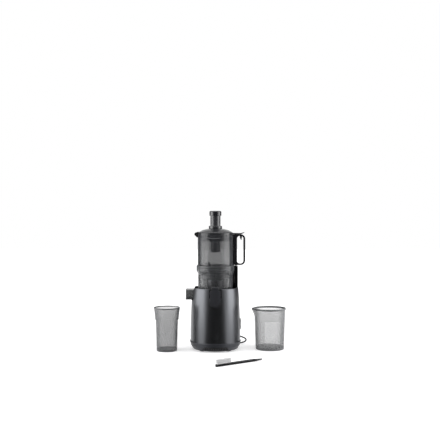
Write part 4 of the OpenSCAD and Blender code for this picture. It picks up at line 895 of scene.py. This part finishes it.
@dataclass
class Lead:
    """Power lead, in millimetres: relief at the skirt's back, free stretch, coil with its tie, and plug."""

    diameter: float = 5.4
    coil: Point = (-10.0, 153.0)
    inner: float = 22.5
    pitch: float = 6.0
    loops: float = 5.5
    low: float = 3.7
    steps: int = 24
    prong: float = 18.8
    relief: Point3 = (30.0, 73.0, 26.0)
    flange: float = 8.0
    collar: float = 2.0
    edge: float = 0.5
    neck: float = 5.0
    tip: float = 3.9
    long: float = 31.0
    hollow: float = 2.8
    sunk: float = 4.0
    ribs: int = 6
    rib_pitch: float = 2.5
    rib: tuple[Point, ...] = ((0.0, 0.0), (0.0, 1.3), (-0.9, 1.6), (-0.9, 2.2))
    free: tuple[Point3, ...] = (
        (30, 104, 26), (30, 110, 26), (32.5, 119, 26), (38.5, 127, 25.5), (47, 131, 25), (58, 132, 24.5),
        (72, 131, 23.5), (86, 129.5, 21.5), (98, 126, 18.5), (107, 118, 16), (111.5, 107, 13), (110, 95, 10),
        (103, 86, 7.3), (92, 81.5, 5), (78, 82, 3.6), (64, 86, 2.9), (50, 91, 2.9), (36, 96.5, 2.9),
        (22, 102.2, 2.9), (11, 108.6, 3.2), (1.4, 114, 3.7), (-4, 114, 3.7))

    def route(self) -> list[Point3]:
        """The line the lead follows, in millimetres."""
        points = list(self.free)
        half = self.loops / 2
        for i in range(int(self.loops * self.steps) + 1):
            t = i / self.steps
            a = math.radians(-90 - 360 * t)
            r = self.inner + self.pitch * abs(t - half)
            z = self.low + self.pitch * min(1, max(0, (t - half) * 2 + 0.5))
            points.append((self.coil[0] + r * math.cos(a), self.coil[1] + r * math.sin(a), z))
        points.append((self.coil[0] + self.pitch, points[-1][1], self.low + self.pitch))
        return points

    def build(self, frame: Frame) -> None:
        """Makes the lead and what sits on it."""
        points = [Vector(p) * MM for p in self.route()]
        curve = bpy.data.curves.new("power_lead", "CURVE")
        curve.dimensions = "3D"
        curve.bevel_depth = self.diameter * MM / 2
        curve.bevel_resolution = 4
        curve.use_fill_caps = True
        spline = curve.splines.new("POLY")
        spline.points.add(len(points) - 1)
        for spot, p in zip(spline.points, points):
            spot.co = (*p, 1)
        curve.materials.append(Finish.RUBBER.material())
        lead = shown("power_lead", curve)
        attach(lead, "base")
        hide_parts("cord", "cord_coil")
        plug = softened(frame, "plug", Finish.RUBBER, 1.0, "base")
        self.prongs(plug)
        dress(frame, Finish.RUBBER, "cord_tie")
        self.relief_boot()

    def prongs(self, plug: Piece) -> None:
        """Gives the plug's prongs their steel."""
        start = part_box("plug")[1][0] / MM - self.prong
        plug.data.materials.append(Finish.STEEL.material())
        for face in plug.data.polygons:
            if (face.center / MM).x > start:
                face.material_index = 1

    def relief_boot(self) -> None:
        """The ribbed bend relief."""
        half = self.long / 2
        line = [(0.0, 0.0), (self.flange, 0.0), (self.flange, self.collar - self.edge),
                (self.flange - self.edge, self.collar), (self.neck, self.collar),
                (self.neck, half - self.edge)]
        for i in range(self.ribs):
            start = i * self.rib_pitch
            r = self.neck + (self.tip - self.neck) * start / half
            line += [(r + more, half + start + up) for more, up in self.rib]
        line += [(self.tip, self.long - 0.4), (self.tip - 0.3, self.long), (self.hollow, self.long),
                 (self.hollow, self.long - self.sunk), (0.0, self.long - self.sunk)]
        boot = revolve("relief_boot", line, Finish.RUBBER, 40)
        lay_back = Matrix.Rotation(math.radians(-90), 4, "X")
        boot.data.transform(Matrix.Translation(Vector(self.relief) * MM) @ lay_back)
        rides(boot, "base", "strain_relief")


@dataclass
class Base(Assembly):
    """Motor base: sleeve, skirt, cover, feet, seat, interlock tower and switch."""

    kept = (
        (Finish.SLEEVE, "base_sleeve"),
        (Finish.SKIRT, "base_skirt"),
        (Finish.BLACK, "bottom_cover"),
        (Finish.TOWER, "bowl_seat"),
        # The tower guide's mid grey is a painted highlight on the tower's left edge.
        (Finish.GREY, "tower_guide"),
        (Finish.BOARD, "interlock_sensor"),
        (Finish.RUBBER, "rubber_feet", "motor_dampers"),
        (Finish.BOARD, "control_board"))
    rounded = (
        ("interlock_tower", Finish.TOWER, 0.8, "base"),
        ("switch_bezel", Finish.BLACK, 0.4, "base"),
        ("rocker_switch", Finish.GLOSS, 0.5, "rocker"))
    screw_span: Point = (117.8, 68.0)
    head_z: float = 4.0
    head_radius: float = 3.0
    head_high: float = 2.0
    shank_radius: float = 1.5
    shank_long: float = 18.0
    recess: float = 0.9
    arm_share: float = 1.2
    sides: int = 32

    def details(self, frame: Frame) -> None:
        """Cover screws with a cross recess, grown over their four places."""
        grow = Grower("screw_set", {
            "Span X": self.screw_span[0] * MM, "Span Y": self.screw_span[1] * MM,
            "Head radius": self.head_radius * MM, "Head height": self.head_high * MM,
            "Shank radius": self.shank_radius * MM, "Shank length": self.shank_long * MM,
            "Recess": self.recess * MM, "Sides": self.sides})
        high, long, recess = (grow.given(label) for label in ("Head height", "Shank length", "Recess"))
        head, shank = (
            grow.add("GeometryNodeMeshCylinder", {
                "Vertices": grow.given("Sides"), "Radius": grow.given(label), "Depth": depth})
            for label, depth in (("Head radius", high), ("Shank radius", long)))
        shank = grow.moved(shank, grow.vector(z=long * 0.5))
        arm = grow.given("Head radius") * self.arm_share
        bars = []
        for across, along in ((arm, recess), (recess, arm)):
            bar = grow.add("GeometryNodeMeshCube", {"Size": grow.vector(across, along, high)})
            bars.append(grow.moved(bar, grow.vector(z=high * -0.6)))
        cut = grow.add("GeometryNodeMeshBoolean", {"Mesh 1": head, "Mesh 2": bars},
                       {"operation": "DIFFERENCE", "solver": "EXACT"})
        both = grow.add("GeometryNodeJoinGeometry", {0: [shank, cut]})
        places = grow.grid(grow.given("Span X"), grow.given("Span Y"), 2, 2)
        places = grow.moved(places, (0, 0, (self.head_z + self.head_high / 2) * MM))
        set_out = grow.add("GeometryNodeInstanceOnPoints", {"Points": places, "Instance": both})
        rides(grow.grow("cover_screws", set_out, Finish.STEEL), "base", "bottom_screws")


class GearTrain(Assembly):
    """Gear case, motor and the wheels between them."""

    kept = (
        (Finish.CASE, "gear_case", "gear_case_cover"),
        (Finish.STEEL, "case_screws", "output_bearing", "idler_axle"),
        (Finish.SHEET, "drive_shaft"),
        (Finish.SEAL, "shaft_seal"),
        (Finish.CAN, "motor_can"),
        (Finish.BLACK, "motor_end_cap", "cooling_fan"),
        (Finish.NYLON, "output_gear", "idler_gear"),
        (Finish.STEEL, "motor_rotor"))


class Bowl(Assembly):
    """Juicing bowl with its pulp duct, hinged juice cap and coupling."""

    kept = (
        (Finish.BOWL, "juicing_bowl"),
        (Finish.DUCT, "pulp_duct"),
        (Finish.SEAL, "bowl_seal", "cap_seal", "pulp_packing"),
        (Finish.STEEL, "cap_pin", "drive_coupling"))
    rounded = (
        ("juice_cap", Finish.CAP, 0.8, "cap"),)


class Auger(Assembly):
    """Slow auger on its steel core."""

    kept = (
        (Finish.AUGER, "auger"),
        (Finish.STEEL, "auger_core"))


@dataclass
class Jug(Assembly):
    """Hopper jug with its handle, strainer, hinged lid, trigger and plunger.

    Ridge and hoop are outlines: a height above where they start, and how far they stand out from the frame.
    """

    kept = (
        (Finish.JUG, "hopper_jug"),
        (Finish.LID, "hopper_lid"),
        (Finish.FRAME, "strainer_frame"),
        (Finish.STEEL, "strainer_ring", "hinge_pin"),
        (Finish.PIN, "interlock_pins"),
        (Finish.SEAL, "jug_gasket"),
        (Finish.BLACK, "lid_hinge", "jug_hinge"),
        (Finish.PLUNGER, "plunger"))
    rounded = (
        ("jug_handle", Finish.GLOSS, 1.6, "jug"),
        ("lid_tongue", Finish.GLOSS, 0.8, "lid"),
        ("release_trigger", Finish.CAP, 0.5, "trigger"),
        ("plunger_cap", Finish.GLOSS, 0.8, "plunger"))
    holes_around: int = 104
    rows: int = 27
    screen: tuple[Point, Point] = ((37.05, 189.6), (41.95, 243.3))
    hole_share: float = 0.62
    sheet: float = 0.4
    sheet_sharp: float = 30.0
    ridge_low: float = 203.0
    ridge_pitch: float = 8.75
    ridge_count: int = 5
    ridge_turn: float = 54.0
    ridge: tuple[Point, ...] = ((0.0, 0.1), (5.0, 0.1), (5.6, 1.8), (7.4, 1.8), (8.0, 0.1))
    ridge_back: float = -0.9
    hoops: tuple[float, ...] = (265.7, 273.7)
    hoop: tuple[Point, ...] = ((0.0, -0.5), (0.0, 0.6), (0.4, 1.0), (2.4, 1.0), (2.8, 0.6), (2.8, -0.5))
    rib_turn: float = -93.1
    rib_wide: float = 2.2
    rib_out: float = 0.7
    rib_back: float = -0.8
    rib_heights: tuple[float, ...] = (204.0, 216.0, 230.0, 243.0, 255.0, 264.0, 274.0, 286.0)
    # Start angle and height of the light grey strip on the jug's front, a painted highlight of the lid's
    # lower edge.
    level: Point = (-111.0, 386.4)
    highlight_sweep: float = 36.0
    highlight_depths: Point = (-0.2, 0.25)
    highlight_high: float = 0.7

    def perforations(self) -> None:
        """The strainer's perforated sheet, grown as staggered six-sided holes."""
        (low_r, low_z), (high_r, high_z) = self.screen
        grow = Grower("perforated_sheet", {
            "Around": self.holes_around, "Rows": self.rows, "Hole share": self.hole_share,
            "Low radius": low_r * MM, "High radius": high_r * MM,
            "Low height": low_z * MM, "High height": high_z * MM})
        along, across, _ = grow.split(grow.add("GeometryNodeInputPosition"))
        up = across + 0.5
        angle = (along + 0.5) * (2 * math.pi) + up * (grow.given("Rows") / grow.given("Around") * math.pi)

        def between(low: str, high: str) -> Num:
            """The value at this height between two named inputs."""
            return grow.given(low) + (grow.given(high) - grow.given(low)) * up

        spot = grow.around(between("Low radius", "High radius"), angle, between("Low height", "High height"))
        sheet = grow.grid(1.0, 1.0, grow.given("Around") + 1.0, grow.given("Rows"))
        sheet = grow.add("GeometryNodeTriangulate", {"Mesh": sheet}, {"quad_method": "FIXED"})
        sheet = grow.add("GeometryNodeSetPosition", {"Geometry": sheet, "Position": spot})
        sheet = grow.add("GeometryNodeMergeByDistance", {"Geometry": sheet, "Distance": 5 * WELD})
        cells = grow.add("GeometryNodeDualMesh", {"Mesh": sheet})
        rim = lay(grow.tree, "GeometryNodeExtrudeMesh", {
            "Mesh": cells, "Offset Scale": 0.0, "Individual": True}, {"mode": "FACES"}).outputs
        small = grow.add("GeometryNodeScaleElements", {
            "Geometry": rim["Mesh"], "Selection": rim["Top"], "Scale": grow.given("Hole share")})
        holed = grow.add("GeometryNodeDeleteGeometry", {
            "Geometry": small, "Selection": rim["Top"]}, {"domain": "FACE"})
        piece = grow.grow("perforated_screen", holed, Finish.SHEET, self.sheet_sharp)
        thick = piece.modifiers.new("thickness", "SOLIDIFY")
        thick.thickness = self.sheet * MM
        thick.offset = -1.0
        rides(smooth(bake(piece), self.sheet_sharp), "jug", "strainer_screen")

    def strainer_details(self, frame: Frame) -> None:
        """Ridged sides, two hoops and the parting ribs of the strainer's frame."""
        def out(height: float, more: float) -> Point:
            """A point that stands out from the frame."""
            return (reach(frame, "strainer_frame", height) + more, height)

        starts = [self.ridge_low + i * self.ridge_pitch for i in range(self.ridge_count)]
        line = [out(z + up, more) for z in starts for up, more in self.ridge]
        line += [out(z, self.ridge_back) for _, z in line[::-1]]
        ridges = turned("strainer_ridges", line, Finish.RIDGE, -self.ridge_turn, 2 * self.ridge_turn, 40, 2)
        rides(ridges, "jug")
        for i, z in enumerate(self.hoops):
            line = [out(z + up, more) for up, more in self.hoop]
            rides(turned(f"strainer_hoop_{i + 1}", line, Finish.RIDGE), "jug")
        line = [out(z, self.rib_out) for z in self.rib_heights]
        line += [out(z, self.rib_back) for z in self.rib_heights[::-1]]
        rides(turned("strainer_ribs", line, Finish.PIN, self.rib_turn, self.rib_wide, 3, 2), "jug")

    def painted_highlight_line(self, frame: Frame) -> None:
        """A thin light grey strip across the jug's front: a painted highlight where the lid's lower edge
        catches the light.
        """
        start, z = self.level
        inner, outer = (reach(frame, "hopper_jug", z) + depth for depth in self.highlight_depths)
        top = z + self.highlight_high
        line = [(inner, z), (outer, z), (outer, top), (inner, top)]
        rides(turned("painted_highlight_line", line, Finish.GREY, start, self.highlight_sweep, 24), "jug")

    def details(self, frame: Frame) -> None:
        """The screen, the strainer's trim and the painted highlight strip on the jug."""
        self.perforations()
        self.strainer_details(frame)
        self.painted_highlight_line(frame)


class Vessels(Assembly):
    """Juice cup and pulp jug."""

    kept = (
        (Finish.CUP, "juice_cup"),
        (Finish.PULP, "pulp_jug"))


@dataclass
class Brush(Assembly):
    """Cleaning brush with a scraper at its end. Lean and spin, in radians, are how far a strand may turn."""

    rounded = (
        ("brush_handle", Finish.BLACK, 0.6, "brush"),)
    spot: Point3 = (4.0, -290.0, 0.0)
    turn: float = 33.6
    head: float = 54.0
    edge: float = 1.0
    wide: float = 8.0
    foot: float = 8.0
    tall: float = 14.4
    rows: int = 25
    files: int = 12
    strands: int = 5
    strand_sides: int = 5
    strand: float = 0.24
    tip: float = 0.12
    ring: float = 0.42
    lean: float = 0.05
    spin: float = 6.28
    shortest: float = 0.95
    seed: int = 7

    def details(self, frame: Frame) -> None:
        """Tufts of tapered strands, grown over the head's backing."""
        long = self.head - 2 * self.edge
        grow = Grower("tuft_field", {
            "Rows": self.rows, "Files": self.files, "Length": long * (1 - 1 / self.rows) * MM,
            "Width": self.wide * (1 - 1 / self.files) * MM, "Height": self.tall * MM,
            "Strand": self.strand * MM, "Tip": self.tip * MM, "Strands": self.strands, "Seed": self.seed})

        def drawn(low: Point3, high: Point3) -> Num:
            """A random vector between two."""
            return grow.add("FunctionNodeRandomValue", {0: low, 1: high, "Seed": grow.given("Seed")},
                            {"data_type": "FLOAT_VECTOR"})

        strand = grow.add("GeometryNodeMeshCone", {
            "Vertices": self.strand_sides, "Side Segments": 2, "Radius Top": grow.given("Tip"),
            "Radius Bottom": grow.given("Strand"), "Depth": grow.given("Height")},
            {"fill_type": "TRIANGLE_FAN"})
        ring = grow.add("GeometryNodeMeshCircle", {
            "Vertices": grow.given("Strands"), "Radius": self.ring * MM})
        jitter = drawn((-self.lean, -self.lean, 0), (self.lean, self.lean, self.spin))
        tall = drawn((1, 1, self.shortest), (1, 1, 1))
        tuft = grow.add("GeometryNodeInstanceOnPoints", {
            "Points": ring, "Instance": strand, "Rotation": jitter, "Scale": tall})
        tuft = grow.add("GeometryNodeRealizeInstances", {0: tuft})
        field = grow.grid(*(grow.given(label) for label in ("Length", "Width", "Rows", "Files")))
        field = grow.add("GeometryNodeInstanceOnPoints", {
            "Points": field, "Instance": tuft, "Rotation": jitter})
        field = grow.moved(field, ((self.edge + long / 2) * MM, 0, self.foot * MM))
        field = grow.moved(field, Vector(self.spot) * MM, (0, 0, math.radians(self.turn)))
        rides(grow.grow("brush_tufts", field, Finish.BRISTLE), "brush", "brush_bristles")


def main() -> None:
    """Builds the scene in order."""
    logging.basicConfig(level=logging.INFO, format="%(name)s: %(message)s")
    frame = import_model()
    Studio().build()
    Lead().build(frame)
    for assembly in (Base(), GearTrain(), Bowl(), Auger(), Jug(), Vessels(), Brush()):
        assembly.build(frame)
        log.info("%s is done", type(assembly).__name__)


if __name__ == "__main__":
    main()
